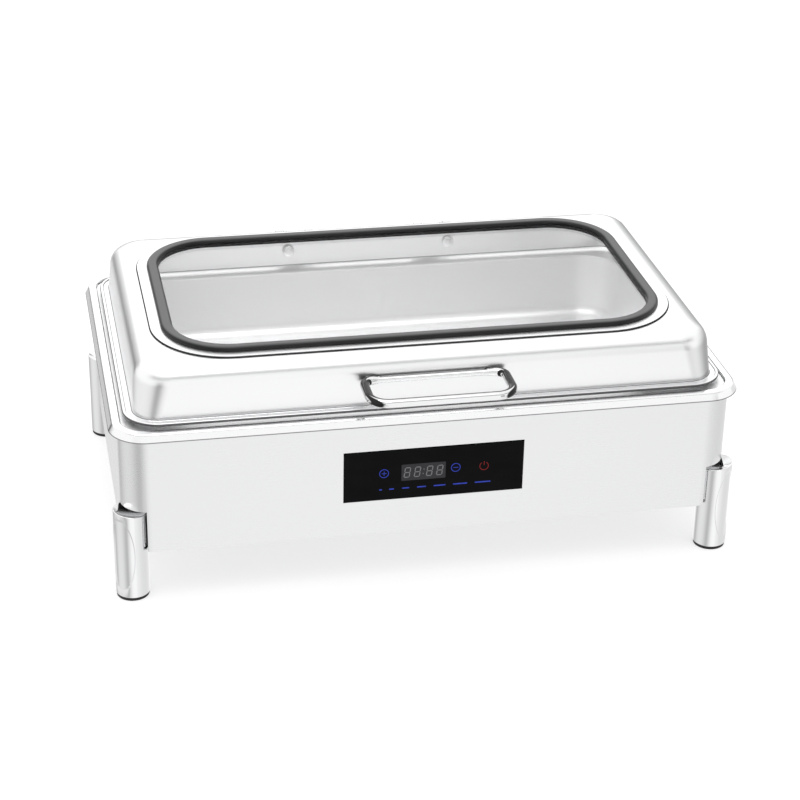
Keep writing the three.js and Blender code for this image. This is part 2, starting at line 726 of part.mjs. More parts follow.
addPiece('display_module', block(
  [DISPLAY_X - DISPLAY_HALF_X, panelBack + GAP, DISPLAY_Z - DISPLAY_HALF_Z],
  [DISPLAY_X + DISPLAY_HALF_X, panelBack + GAP + DISPLAY_DEPTH, DISPLAY_Z + DISPLAY_HALF_Z],
), blackPlastic);

addPiece('touch_board', block(
  [-PANEL_HALF_X + TOUCH_BOARD_MARGIN, postBack + GAP, PANEL_Z - PANEL_HALF_Z + TOUCH_BOARD_MARGIN],
  [PANEL_HALF_X - TOUCH_BOARD_MARGIN, postBack + GAP + BOARD_SHEET,
    PANEL_Z + PANEL_HALF_Z - TOUCH_BOARD_MARGIN],
), boardGreen);

// Board with its standoffs, relay, transformer and heat sink soldered on.
function powerBoard() {
  const front = carrierFront + POWER_STANDOFF;
  const back = front + BOARD_SHEET;
  const at = (x, z) => [POWER_BOARD_X + x, POWER_BOARD_Z + z];
  const onBoard = (x, z, halfX, halfZ, height) => {
    const [cx, cz] = at(x, z);
    return block([cx - halfX, back - 0.5, cz - halfZ], [cx + halfX, back + height, cz + halfZ]);
  };
  const standoffs = [[-1, -1], [-1, 1], [1, -1], [1, 1]].map(([sideX, sideZ]) => {
    const [x, z] = at(sideX * (POWER_BOARD_HALF_X - 5), sideZ * (POWER_BOARD_HALF_Z - 5));
    return bar(POST_RADIUS, [x, carrierFront, z], [x, front + 0.5, z], 8);
  });
  return joined(
    block(
      [POWER_BOARD_X - POWER_BOARD_HALF_X, front, POWER_BOARD_Z - POWER_BOARD_HALF_Z],
      [POWER_BOARD_X + POWER_BOARD_HALF_X, back, POWER_BOARD_Z + POWER_BOARD_HALF_Z]),
    ...standoffs,
    onBoard(-24, 8, 9, 7.5, 8),
    onBoard(8, 6, 12, 10, 9),
    onBoard(32, 4, 5, 16, 8),
    onBoard(-10, -18, 20, 4, 7),
  );
}

addPiece('power_board', powerBoard(), boardGreen);

// Socket body with a flange outside the skirt and three pins on its floor.
function powerInlet() {
  const flangeLow = skirtY + GAP;
  const face = flangeLow + INLET_FLANGE_SHEET;
  const back = face - INLET_DEPTH;
  const around = (halfX, halfZ, fromY, toY) => block(
    [INLET_X - halfX, fromY, INLET_Z - halfZ], [INLET_X + halfX, toY, INLET_Z + halfZ]);
  const body = joined(
    around(INLET_HALF_X, INLET_HALF_Z, back, face),
    around(INLET_HALF_X + INLET_FLANGE, INLET_HALF_Z + INLET_FLANGE, flangeLow, face));
  const socket = around(
    INLET_HALF_X - INLET_WALL, INLET_HALF_Z - INLET_WALL, back + INLET_FLOOR, face + 2);
  const pins = [[-7, -2], [0, 3], [7, -2]].map(([x, z]) => block(
    [INLET_X + x - 1, back + INLET_FLOOR - 1, INLET_Z + z - 2],
    [INLET_X + x + 1, back + INLET_FLOOR + INLET_PIN, INLET_Z + z + 2]));
  return joined(cut(body, socket), ...pins);
}

addPiece('power_inlet', powerInlet(), blackPlastic);

// ---------------------------------------------------------------- legs

// Raises the top of a leg toward the side at this angle, and lowers the far side.
function slanted(shape, angle) {
  const spots = shape.getAttribute('position');
  for (let i = 0; i < spots.count; i += 1) {
    const share = THREE.MathUtils.clamp((spots.getZ(i) - LEG_TOP + 12) / 8, 0, 1);
    const along = spots.getX(i) * Math.cos(angle) + spots.getY(i) * Math.sin(angle);
    spots.setZ(i, spots.getZ(i) + LEG_SLANT * share * along / LEG_RADIUS);
  }
  return shape;
}

// Leg drawn on its own axis, with its inner flat toward +X and its scoop toward -X.
function legCasting(outward) {
  const dishRadius = LEG_RADIUS - LEG_EDGE;
  const outline = [
    [0, FOOT_THICKNESS + GAP],
    [LEG_RADIUS - 0.5, FOOT_THICKNESS + GAP],
    [LEG_RADIUS, FOOT_THICKNESS + GAP + 0.5],
    [LEG_RADIUS, LEG_TOP - 0.6],
    [LEG_RADIUS - 0.6, LEG_TOP],
    [dishRadius, LEG_TOP],
    [dishRadius * 0.7, LEG_TOP - LEG_DISH * 0.55],
    [dishRadius * 0.35, LEG_TOP - LEG_DISH * 0.9],
    [0, LEG_TOP - LEG_DISH],
  ];
  const half = SCOOP_HEIGHT / 2;
  const scoopRadius = (half * half + SCOOP_DEPTH * SCOOP_DEPTH) / (2 * SCOOP_DEPTH);
  const scoopX = -(LEG_RADIUS - SCOOP_DEPTH) - scoopRadius;
  const scoopMiddle = LEG_TOP - SCOOP_DROP;
  const wide = 2 * LEG_RADIUS;
  const pocket = BRACKET_WIDTH / 2 + 2 * GAP;
  const scoop = cut(
    bar(scoopRadius, [scoopX, -wide, scoopMiddle], [scoopX, wide, scoopMiddle], 80),
    bar(LEG_RADIUS - SCOOP_RECESS, [0, 0, -wide], [0, 0, LEG_TOP + wide], ROUND));
  return cut(
    slanted(turned(outline), outward),
    scoop,
    block([LEG_FLAT, -pocket, SKIRT_BOTTOM], [wide, pocket, BRACKET_TOP + 1]),
    bar(FOOT_STEM_RADIUS + SLIP, [0, 0, 0], [0, 0, FOOT_THICKNESS + FOOT_STEM + 1]),
    bar(SCREW_SHANK + SLIP, [LEG_FLAT - LEG_SCREW_DEPTH - 1, 0, LEG_SCREW_Z],
      [LEG_FLAT + 5, 0, LEG_SCREW_Z]),
  );
}

function footPad() {
  const radius = LEG_RADIUS - FOOT_INSET;
  return turned([
    [0, 0],
    [radius - 0.8, 0],
    [radius, 0.8],
    [radius, FOOT_THICKNESS],
    [FOOT_STEM_RADIUS, FOOT_THICKNESS],
    [FOOT_STEM_RADIUS, FOOT_THICKNESS + FOOT_STEM - 1],
    [FOOT_STEM_RADIUS - 1, FOOT_THICKNESS + FOOT_STEM],
    [0, FOOT_THICKNESS + FOOT_STEM],
  ], 16);
}

// Angle bracket from the leg's flat face to the bottom plate.
function legBracket() {
  const face = LEG_FLAT + GAP;
  const low = plateTop + GAP;
  const half = BRACKET_WIDTH / 2;
  return cut(
    joined(
      block([face, -half, low], [face + BRACKET_SHEET, half, BRACKET_TOP]),
      block([face, -half, low], [BRACKET_REACH, half, low + BRACKET_SHEET])),
    bar(SCREW_SHANK + SLIP, [face - 2, 0, LEG_SCREW_Z],
      [face + BRACKET_SHEET + 2, 0, LEG_SCREW_Z]),
  );
}

// Pan-head screw that points along -X, with its head resting at x = 0.
function panHeadScrew(length) {
  return turned([
    [0, -length],
    [SCREW_SHANK, -length],
    [SCREW_SHANK, 0],
    [SCREW_HEAD, 0],
    [SCREW_HEAD, SCREW_HEAD_HEIGHT * 0.6],
    [SCREW_HEAD * 0.7, SCREW_HEAD_HEIGHT],
    [0, SCREW_HEAD_HEIGHT],
  ], SCREW_ROUND).rotateY(Math.PI / 2);
}

const corners = [
  ['front_left', -1, -1],
  ['front_right', 1, -1],
  ['rear_left', -1, 1],
  ['rear_right', 1, 1],
];

for (const [corner, sideX, sideY] of corners) {
  const inward = Math.atan2(-sideY, -sideX);
  const outward = (sideX > 0 ? 0 : Math.PI) - inward;
  const headFace = LEG_FLAT + GAP + BRACKET_SHEET + GAP;
  const pieces = [
    addPiece(`leg_${corner}`, legCasting(outward), chrome),
    addPiece(`foot_pad_${corner}`, footPad(), blackRubber),
    addPiece(`leg_bracket_${corner}`, legBracket(), zincSteel),
    addPiece(
      `leg_screw_${corner}`,
      panHeadScrew(headFace - LEG_FLAT + LEG_SCREW_DEPTH - 1)
        .translate(headFace, 0, LEG_SCREW_Z),
      zincSteel),
  ];
  for (const piece of pieces) {
    piece.position.set(sideX * LEG_X, sideY * LEG_Y, 0);
    piece.rotation.z = inward;
  }
}

// ---------------------------------------------------------------- lid

function lidShell() {
  const outer = quarter(
    -LID_DRAFT - LID_SHOULDER, wallHigh, LID_SHOULDER, 0, Math.PI / 2, 4);
  const inner = quarter(
    -LID_DRAFT - LID_SHOULDER, wallHigh, LID_SHOULDER - LID_SHEET, Math.PI / 2, 0, 4);
  const windowOut = (inset) => -(WINDOW_INSET_X + inset);
  const bezelOut = windowOut(-BEZEL_WIDTH);
  const holeOut = windowOut(holeInset);
  const bezelCorner = WINDOW_CORNER + BEZEL_WIDTH;
  const holeCorner = WINDOW_CORNER - holeInset;
  const depthShift = WINDOW_INSET_Y - WINDOW_INSET_X;
  const shoulderCorner = (out) => LID_TOP_CORNER + LID_DRAFT + out;
  // Rings on the wall step in equally; rings on the window follow its own insets.
  const wall = (out, z, corner) => (
    { x: LID_HALF_X + out, y: LID_HALF_Y + out, corner: corner ?? LID_CORNER + out, z });
  const top = (out, z, corner) => (
    { x: LID_HALF_X + out, y: LID_HALF_Y + out - depthShift, corner, z });
  const rings = [
    wall(LID_FLANGE - 0.8, lidLow),
    wall(LID_FLANGE, lidLow + 0.8),
    wall(LID_FLANGE, flangeTop - 0.8),
    wall(LID_FLANGE - 0.8, flangeTop),
    wall(LID_FILLET * 0.8, flangeTop),
    wall(LID_FILLET * 0.3, flangeTop + LID_FILLET * 0.25),
    wall(0, wallLow),
    ...outer.map(([out, z]) => wall(out, z, shoulderCorner(out))),
    top(bezelOut + 0.4, LID_TOP, bezelCorner + 0.4),
    top(bezelOut, bezelTop, bezelCorner),
    top(holeOut, bezelTop, holeCorner),
    top(holeOut, bezelTop - LID_SHEET, holeCorner),
    top(bezelOut - 1, bezelTop - LID_SHEET, bezelCorner - 1),
    top(bezelOut - 0.6, LID_TOP - LID_SHEET, bezelCorner - 0.6),
    ...inner.map(([out, z]) => wall(out, z, shoulderCorner(out))),
    wall(-LID_SHEET, wallLow),
    wall(-LID_SHEET, lidLow),
  ];
  const tools = [];
  for (const side of [-1, 1]) {
    const x = side * HANDLE_SCREW_X;
    const y = LID_HALF_Y - wallLean(HANDLE_Z);
    tools.push(bar(SCREW_SHANK + SLIP, [x, -y - 5, HANDLE_Z], [x, -y + 5, HANDLE_Z]));
    const rivetY = LID_HALF_Y - wallLean(RIVET_Z);
    tools.push(bar(RIVET_SHANK + SLIP,
      [side * RIVET_X, rivetY - 5, RIVET_Z], [side * RIVET_X, rivetY + 5, RIVET_Z]));
  }
  return cut(pressed([...rings, rings[0]]), ...tools);
}

function windowSeal() {
  const low = glassLow - GAP - SEAL_SKIN;
  const beadLow = bezelTop + GAP;
  const beadTop = bezelTop + SEAL_HEIGHT;
  const webInner = -(glassInset - GAP);
  const webOuter = -(holeInset + GAP);
  const half = SEAL_WIDTH / 2;
  const bead = Array.from({ length: 5 }, (_, i) => {
    const angle = Math.PI * (i + 0.5) / 5;
    return [-half + half * Math.cos(angle), beadLow + (beadTop - beadLow) * Math.sin(angle)];
  });
  return pressedRing(sealX, sealY, WINDOW_CORNER, [
    [-0.4, beadLow],
    ...bead,
    [-SEAL_WIDTH, glassTop + GAP],
    [webInner, glassTop + GAP],
    [webInner, glassLow - GAP],
    [-SEAL_WIDTH, glassLow - GAP],
    [-SEAL_WIDTH, low],
    [-1.5, low],
    [-1.5, bezelTop - LID_SHEET - GAP],
    [webOuter, bezelTop - LID_SHEET - GAP],
    [webOuter, beadLow],
  ]);
}

addPiece('lid_shell', lidShell(), satinSteel);
addPiece('window_seal', windowSeal(), blackRubber);
addPiece('window_glass', roundedPlate(
  sealX - glassInset, sealY - glassInset, WINDOW_CORNER - glassInset, glassLow, glassTop),
clearGlass);

for (const side of [-1, 1]) {
  const places = [BUMPER_FROM_FRONT - LID_HALF_Y, LID_HALF_Y - BUMPER_FROM_REAR];
  for (const [index, y] of places.entries()) {
    const x = side * (LID_HALF_X + (LID_FLANGE - LID_SHEET) / 2);
    addPiece(
      `lid_bumper_${side < 0 ? 'left' : 'right'}_${index + 1}`,
      bar(BUMPER_RADIUS, [x, y, wellFlangeTop + GAP], [x, y, lidLow - GAP]),
      blackRubber);
  }
}

// ---------------------------------------------------------------- handle

const handleWallY = -(LID_HALF_Y - wallLean(HANDLE_Z));
const handleBackY = handleWallY - HANDLE_STANDOFF;
const handleFrontY = handleWallY - HANDLE_REACH;

// Straight runs with round corners through a list of turning points.
function roundedPath(points, radii) {
  const path = new THREE.CurvePath();
  let from = points[0];
  for (let i = 1; i < points.length - 1; i += 1) {
    const back = points[i - 1].clone().sub(points[i]).setLength(radii[i - 1]);
    const ahead = points[i + 1].clone().sub(points[i]).setLength(radii[i - 1]);
    const enter = points[i].clone().add(back);
    const leave = points[i].clone().add(ahead);
    path.add(new THREE.LineCurve3(from, enter));
    path.add(new THREE.QuadraticBezierCurve3(enter, points[i], leave));
    from = leave;
  }
  path.add(new THREE.LineCurve3(from, points[points.length - 1]));
  return path;
}

function lidHandle() {
  const at = (x, y) => new THREE.Vector3(x, y, HANDLE_Z);
  const ends = HANDLE_SCREW_X - 3;
  const path = roundedPath([
    at(-ends, handleBackY),
    at(-HANDLE_HALF_X, handleBackY),
    at(-HANDLE_HALF_X, handleFrontY),
    at(HANDLE_HALF_X, handleFrontY),
    at(HANDLE_HALF_X, handleBackY),
    at(ends, handleBackY),
  ], [HANDLE_BACK_CORNER, HANDLE_CORNER, HANDLE_CORNER, HANDLE_BACK_CORNER]);
  const section = new THREE.Shape();
  section.absarc(0, 0, HANDLE_RADIUS, 0, Math.PI * 2);
  const rod = new THREE.ExtrudeGeometry(section, {
    extrudePath: path, steps: 40, curveSegments: 4, bevelEnabled: false,
  });
  const backBar = bar(
    HANDLE_BACK_RADIUS, [-ends - 2, handleBackY, HANDLE_Z], [ends + 2, handleBackY, HANDLE_Z], 10);
  const holes = [-1, 1].map((side) => bar(
    SCREW_SHANK + SLIP,
    [side * HANDLE_SCREW_X, handleWallY + 2, HANDLE_Z],
    [side * HANDLE_SCREW_X, handleBackY - 1, HANDLE_Z]));
  return cut(joined(rod, backBar), ...holes);
}

addPiece('lid_handle', lidHandle(), chrome);

for (const side of [-1, 1]) {
  const headFace = handleWallY + LID_SHEET + GAP + 0.4;
  const length = headFace - handleBackY;
  addPiece(
    `handle_screw_${side < 0 ? 'left' : 'right'}`,
    panHeadScrew(length)
      .rotateZ(Math.PI / 2)
      .translate(side * HANDLE_SCREW_X, headFace, HANDLE_Z),
    zincSteel);
}

// ---------------------------------------------------------------- hinges

function hingeScrewHeights() {
  const quarterHeight = (HINGE_FOOT_HIGH - HINGE_FOOT_LOW) / 4;
  return [HINGE_FOOT_LOW + quarterHeight, HINGE_FOOT_HIGH - quarterHeight];
}

// Lowest and highest x of a stretch that is measured outward from a hinge's middle.
function stretch(side, from, to) {
  const ends = [side * (HINGE_X + from), side * (HINGE_X + to)];
  return [Math.min(...ends), Math.max(...ends)];
}

const earInner = BARREL_HALF + GAP;
const outerEarEnd = earInner + EAR_THIN;
const damperStart = outerEarEnd + GAP;
const hingePlateTop = HINGE_Z - BARREL_RADIUS - BARREL_DROP;

// Bracket up the back of the skirt and around the rim, with an ear at each end.
function hingeBase(side) {
  const footFace = skirtY + GAP;
  const rimFace = RIM_HALF_Y + RIM_FLARE + 2 * GAP;
  const joggle = HINGE_FOOT_HIGH + 1;
  const [low, high] = stretch(side, -HINGE_HALF, HINGE_HALF);
  const plate = prismX([
    [footFace, HINGE_FOOT_LOW],
    [footFace + HINGE_SHEET, HINGE_FOOT_LOW],
    [footFace + HINGE_SHEET, joggle - 3],
    [rimFace + HINGE_SHEET, joggle + 1],
    [rimFace + HINGE_SHEET, hingePlateTop],
    [rimFace, hingePlateTop],
    [rimFace, joggle + 3],
    [footFace, joggle - 1],
  ], low, high);
  const ear = (from, to) => {
    const [x0, x1] = stretch(side, from, to);
    return joined(
      bar(BARREL_RADIUS, [x0, HINGE_Y, HINGE_Z], [x1, HINGE_Y, HINGE_Z], 12),
      block([x0, rimFace, hingePlateTop - 4], [x1, rimFace + HINGE_SHEET, HINGE_Z]));
  };
  const pinHole = bar(PIN_RADIUS + SLIP,
    [low - 5, HINGE_Y, HINGE_Z], [high + 5, HINGE_Y, HINGE_Z]);
  const screwHoles = hingeScrewHeights().map((z) => bar(
    SCREW_SHANK + SLIP, [side * HINGE_X, footFace - 3, z], [side * HINGE_X, footFace + 6, z]));
  return cut(
    joined(plate, ear(-earInner - EAR_LENGTH, -earInner), ear(earInner, outerEarEnd)),
    pinHole,
    ...screwHoles,
  );
}

// Leaf riveted to the lid wall, with an arm back to its barrel.
function hingeLeaf(side) {
  const face = (z) => LID_HALF_Y - wallLean(z) + GAP;
  const [low, high] = stretch(side, -HINGE_HALF, HINGE_HALF);
  const leaf = prismX([
    [face(LEAF_LOW), LEAF_LOW],
    [face(LEAF_LOW) + LEAF_SHEET, LEAF_LOW],
    [face(LEAF_HIGH) + LEAF_SHEET, LEAF_HIGH],
    [face(LEAF_HIGH), LEAF_HIGH],
  ], low, high);
  const [armLow, armHigh] = stretch(side, -BARREL_HALF, BARREL_HALF);
  const half = ARM_THICKNESS / 2;
  const arm = block(
    [armLow, face(HINGE_Z) + LEAF_SHEET / 2, HINGE_Z - half], [armHigh, HINGE_Y, HINGE_Z + half]);
  const barrel = bar(
    BARREL_RADIUS, [armLow, HINGE_Y, HINGE_Z], [armHigh, HINGE_Y, HINGE_Z], 12);
  const rivetX = side * RIVET_X;
  return cut(
    joined(leaf, arm, barrel),
    bar(PIN_RADIUS + SLIP,
      [armLow - 5, HINGE_Y, HINGE_Z], [armHigh + 5, HINGE_Y, HINGE_Z]),
    bar(RIVET_SHANK + SLIP,
      [rivetX, face(RIVET_Z) - 4, RIVET_Z], [rivetX, face(RIVET_Z) + 6, RIVET_Z]),
  );
}

function hingePin(side) {
  const [low, high] = stretch(side, -earInner - EAR_LENGTH - 1, damperStart + DAMPER_LENGTH - 2);
  return bar(PIN_RADIUS, [low, HINGE_Y, HINGE_Z], [high, HINGE_Y, HINGE_Z]);
}

// Soft-close damper: a block on the outer ear that the pin runs into.
function hingeDamper(side) {
  const [low, high] = stretch(side, damperStart, damperStart + DAMPER_LENGTH);
  const half = DAMPER_RADIUS;
  return cut(
    joined(
      bar(half, [low, HINGE_Y, HINGE_Z], [high, HINGE_Y, HINGE_Z], 12),
      block([low, HINGE_Y - half, hingePlateTop + GAP], [high, HINGE_Y + half, HINGE_Z])),
    bar(PIN_RADIUS + SLIP, [low - 2, HINGE_Y, HINGE_Z], [high + 2, HINGE_Y, HINGE_Z]),
  );
}

// Rivet through the leaf and the lid wall, with its round head inside the lid.
function lidRivet(side) {
  const wallFace = LID_HALF_Y - wallLean(RIVET_Z);
  const inside = wallFace - LID_SHEET - GAP - 0.6;
  const outside = wallFace + GAP + LEAF_SHEET + GAP + 0.4;
  return turned([
    [0, inside - 2.4],
    [RIVET_HEAD * 0.6, inside - 2],
    [RIVET_HEAD, inside - 0.8],
    [RIVET_HEAD, inside],
    [RIVET_SHANK, inside],
    [RIVET_SHANK, outside],
    [RIVET_SHANK * 1.8, outside],
    [RIVET_SHANK * 1.8, outside + 0.8],
    [0, outside + 1.4],
  ], 12).rotateX(-Math.PI / 2).translate(side * RIVET_X, 0, RIVET_Z);
}

for (const side of [-1, 1]) {
  const end = side < 0 ? 'left' : 'right';
  addPiece(`hinge_base_${end}`, hingeBase(side), zincSteel);
  addPiece(`hinge_leaf_${end}`, hingeLeaf(side), satinSteel);
  addPiece(`hinge_pin_${end}`, hingePin(side), zincSteel);
  addPiece(`hinge_damper_${end}`, hingeDamper(side), zincSteel);
  addPiece(`lid_rivet_${end}`, lidRivet(side), satinSteel);
  for (const [index, z] of hingeScrewHeights().entries()) {
    const headFace = skirtY + GAP + HINGE_SHEET + GAP;
    addPiece(
      `hinge_screw_${end}_${index + 1}`,
      panHeadScrew(headFace - skirtY + SKIRT_SHEET + 4)
        .rotateZ(Math.PI / 2)
        .translate(side * HINGE_X, headFace, z),
      zincSteel);
  }
}

// ---------------------------------------------------------------- origin

const bounds = new THREE.Box3().setFromObject(server);
const middle = bounds.getCenter(new THREE.Vector3());
server.position.set(-middle.x, -middle.y, -bounds.min.z);

export default server;
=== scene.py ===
# Electric buffet server: finished look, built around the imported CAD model.
# Shapes are drawn in millimetres and scaled to metres when a piece is made.

import json
import math
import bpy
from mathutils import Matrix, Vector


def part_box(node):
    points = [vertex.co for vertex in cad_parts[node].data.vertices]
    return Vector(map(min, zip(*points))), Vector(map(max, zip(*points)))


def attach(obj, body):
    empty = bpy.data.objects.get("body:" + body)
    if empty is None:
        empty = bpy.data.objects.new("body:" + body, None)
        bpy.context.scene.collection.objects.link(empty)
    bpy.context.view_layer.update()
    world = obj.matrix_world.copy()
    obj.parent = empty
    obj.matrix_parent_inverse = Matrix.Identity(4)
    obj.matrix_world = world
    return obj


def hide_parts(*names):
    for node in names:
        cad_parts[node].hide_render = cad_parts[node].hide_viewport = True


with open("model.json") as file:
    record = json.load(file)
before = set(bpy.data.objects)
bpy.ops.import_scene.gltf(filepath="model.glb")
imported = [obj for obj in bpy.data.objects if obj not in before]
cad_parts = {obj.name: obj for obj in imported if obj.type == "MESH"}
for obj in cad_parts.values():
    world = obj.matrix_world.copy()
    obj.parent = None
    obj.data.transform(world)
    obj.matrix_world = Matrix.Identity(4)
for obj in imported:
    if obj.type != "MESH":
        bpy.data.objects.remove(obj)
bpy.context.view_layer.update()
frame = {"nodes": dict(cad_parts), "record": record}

import bmesh
import bpy
from mathutils import Matrix, Vector

scene = bpy.context.scene
MM = 0.001


class Place:
    """Box of a CAD node, in millimetres."""

    def __init__(self, node):
        low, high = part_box(node)
        self.low, self.high = low / MM, high / MM
        self.middle = (self.low + self.high) / 2
        self.half = (self.high - self.low) / 2


# ---- camera

CAMERA_AT = Vector((-0.3749, -1.7995, 1.0294))
CAMERA_YAW = math.radians(11.812)
CAMERA_PITCH = math.radians(26.851)
CAMERA_ROLL = math.radians(1.198)
CAMERA_LENS = 94.95


def make_camera():
    data = bpy.data.cameras.new("camera")
    data.lens = CAMERA_LENS
    data.sensor_width = 36
    data.clip_start = 0.01
    camera = bpy.data.objects.new("camera", data)
    scene.collection.objects.link(camera)
    flat = math.cos(CAMERA_PITCH)
    ahead = Vector((math.sin(CAMERA_YAW) * flat, math.cos(CAMERA_YAW) * flat,
                    -math.sin(CAMERA_PITCH)))
    level = Vector((math.cos(CAMERA_YAW), -math.sin(CAMERA_YAW), 0))
    above = level.cross(ahead)
    right = level * math.cos(CAMERA_ROLL) + above * math.sin(CAMERA_ROLL)
    up = above * math.cos(CAMERA_ROLL) - level * math.sin(CAMERA_ROLL)
    turn = Matrix((right, up, -ahead)).transposed().to_4x4()
    camera.matrix_world = Matrix.Translation(CAMERA_AT) @ turn
    scene.camera = camera


make_camera()

# ---- shader graphs


class Value:
    """A number that changes over a surface; arithmetic on it adds Math nodes."""

    def __init__(self, graph, socket):
        self.graph = graph
        self.socket = socket

    def _maths(self, operation, *values):
        made = self.graph.add("ShaderNodeMath", {"operation": operation}, values)
        return made.value()

    def __add__(self, other):
        return self._maths("ADD", self, other)

    __radd__ = __add__

    def __mul__(self, other):
        return self._maths("MULTIPLY", self, other)

    __rmul__ = __mul__

    def __sub__(self, other):
        return self._maths("SUBTRACT", self, other)

    def __rsub__(self, other):
        return self._maths("SUBTRACT", other, self)

    def size(self):
        return self._maths("ABSOLUTE", self)

    def between(self, low, high):
        """0 below low, 1 above high, and smooth in between."""
        made = self.graph.add(
            "ShaderNodeMapRange", {"interpolation_type": "SMOOTHSTEP"},
            {"Value": self, "From Min": low, "From Max": high})
        return made.value()

    def window(self, low, low_end, high, high_end):
        """1 from low_end to high, and 0 below low and above high_end."""
        return self.between(low, low_end) * (1 - self.between(high, high_end))

    def or_larger(self, other):
        return self._maths("MAXIMUM", self, other)


class Made:
    """A node that a graph has made."""

    def __init__(self, graph, node):
        self.graph = graph
        self.node = node

    def value(self, name=0):
        return Value(self.graph, self.node.outputs[name])

    def out(self, name=0):
        return self.node.outputs[name]


class Graph:
    """The node tree of a material or of the world."""

    def __init__(self, tree):
        self.tree = tree
        tree.nodes.clear()

    def add(self, kind, settings=None, inputs=None):
        node = self.tree.nodes.new(kind)
        for name, setting in (settings or {}).items():
            setattr(node, name, setting)
        pairs = inputs.items() if isinstance(inputs, dict) else enumerate(inputs or ())
        for name, value in pairs:
            self.feed(self.socket(node, name), value)
        return Made(self, node)

    def socket(self, node, name):
        if isinstance(name, int):
            return node.inputs[name]
        exact = [s for s in node.inputs if s.identifier == name]
        return exact[0] if exact else node.inputs[name]

    def feed(self, socket, value):
        if isinstance(value, Value):
            value = value.socket
        if isinstance(value, bpy.types.NodeSocket):
            self.tree.links.new(value, socket)
        else:
            socket.default_value = value

    def ramp(self, value, stops):
        """Colour from stops of (place, grey or colour)."""
        made = self.add("ShaderNodeValToRGB", None, {"Fac": value})
        elements = made.node.color_ramp.elements
        while len(elements) < len(stops):
            elements.new(0.5)
        for element, (place, colour) in zip(elements, stops):
            element.position = place
            element.color = colour if len(colour) == 4 else (*colour, 1)
        return made.out("Color")

    def mixed(self, share, first, second):
        made = self.add("ShaderNodeMix", {"data_type": "RGBA"},
                        {"Factor_Float": share, "A_Color": first, "B_Color": second})
        return made.out("Result_Color") if "Result_Color" in made.node.outputs else \
            made.node.outputs[2]

    def parts(self, kind):
        """X, Y and Z of one kind of texture coordinate."""
        vector = self.add("ShaderNodeTexCoord").out(kind)
        made = self.add("ShaderNodeSeparateXYZ", None, [vector])
        return [made.value(axis) for axis in "XYZ"]

    def spread(self, stretch):
        """Object coordinates, stretched."""
        place = self.add("ShaderNodeTexCoord").out("Object")
        return self.add("ShaderNodeMapping", {"vector_type": "POINT"},
                        {"Vector": place, "Scale": stretch}).out()

    def noise(self, stretch, detail=2.0, roughness=0.5):
        made = self.add("ShaderNodeTexNoise", None, {
            "Vector": self.spread(stretch), "Scale": 1.0, "Detail": detail,
            "Roughness": roughness})
        return made.value(0)


class Finish:
    """A material with its record slot."""

    def __init__(self, name, slot):
        self.material = bpy.data.materials.new(name)
        self.material.use_nodes = True
        self.slot = slot
        self.graph = Graph(self.material.node_tree)

    def end(self, shader):
        self.graph.add("ShaderNodeOutputMaterial", None, {"Surface": shader})
        return self

    def principled(self, **sockets):
        named = {name.replace("_", " "): value for name, value in sockets.items()}
        return self.graph.add("ShaderNodeBsdfPrincipled", None, named).out("BSDF")

    def bump(self, height, strength, distance):
        return self.graph.add("ShaderNodeBump", None, {
            "Height": height, "Strength": strength, "Distance": distance}).out("Normal")


# ---- finishes

GRAIN_ALONG = 9.0
GRAIN_ACROSS = 2200.0
# painted shade: a dark colour mixed into steel where creases, gaps and rounded edges would be
# shaded
PAINTED_SHADE = (0.045, 0.045, 0.048, 1)
SHADE_BLUR = 0.15 * MM
# painted reflection: the dark colour that the handle's chrome is given in place of reflected dark
# surroundings
REFLECTION_DARK = (0.006, 0.006, 0.007, 1)


def brushed(name, slot, tone, roughness, grain, relief, shaded_creases=(), darkness=0.75,
            shoulder_shade=0.0):
    """Steel brushed round the body: along X on front and back, along Y on the ends.

    Upright faces get painted shade as dark bands at the heights in shaded_creases, given as (low,
    high) in millimetres, where creases and gaps would be shaded.
    Shoulder_shade is how much painted shade darkens the rounded back and right edges of the top.
    """
    finish = Finish(name, slot)
    graph = finish.graph
    facing_x, facing_y, facing_z = graph.parts("Normal")
    end_face = facing_x.size().between(0.55, 0.8)
    along_x = graph.noise((GRAIN_ALONG, GRAIN_ACROSS, GRAIN_ACROSS), 3.0, 0.6)
    along_y = graph.noise((GRAIN_ACROSS, GRAIN_ALONG, GRAIN_ACROSS), 3.0, 0.6)
    streaks = along_x * (1 - end_face) + along_y * end_face
    patches = graph.noise((14.0, 14.0, 14.0), 4.0, 0.55)
    rough = streaks * grain + patches * 0.05 + (roughness - grain / 2 - 0.025)
    shade = streaks * 0.05 + patches * 0.03 - 0.04
    colour = graph.ramp(shade + 0.5, [
        (0.40, (tone * 0.93, tone * 0.935, tone * 0.94)),
        (0.60, (tone, tone, tone * 1.005))])
    if shaded_creases:
        # painted shade: upright faces darken in bands at the crease heights
        height = graph.parts("Object")[2]
        upright = 1 - facing_z.size().between(0.75, 0.95)
        for low, high in shaded_creases:
            inside = height.window(low * MM - SHADE_BLUR, low * MM + SHADE_BLUR,
                                   high * MM - SHADE_BLUR, high * MM + SHADE_BLUR)
            colour = graph.mixed(inside * upright * darkness, colour, PAINTED_SHADE)
    if shoulder_shade:
        # painted shade: the rounded back and right edges of the top darken by surface direction
        back = facing_y.window(0.03, 0.3, 0.8, 0.95)
        right = facing_x.window(0.35, 0.8, 0.93, 0.97)
        colour = graph.mixed(back.or_larger(right) * shoulder_shade, colour, PAINTED_SHADE)
    return finish.end(finish.principled(
        Base_Color=colour, Metallic=1.0, Roughness=rough,
        Normal=finish.bump(streaks, relief, 0.00002)))


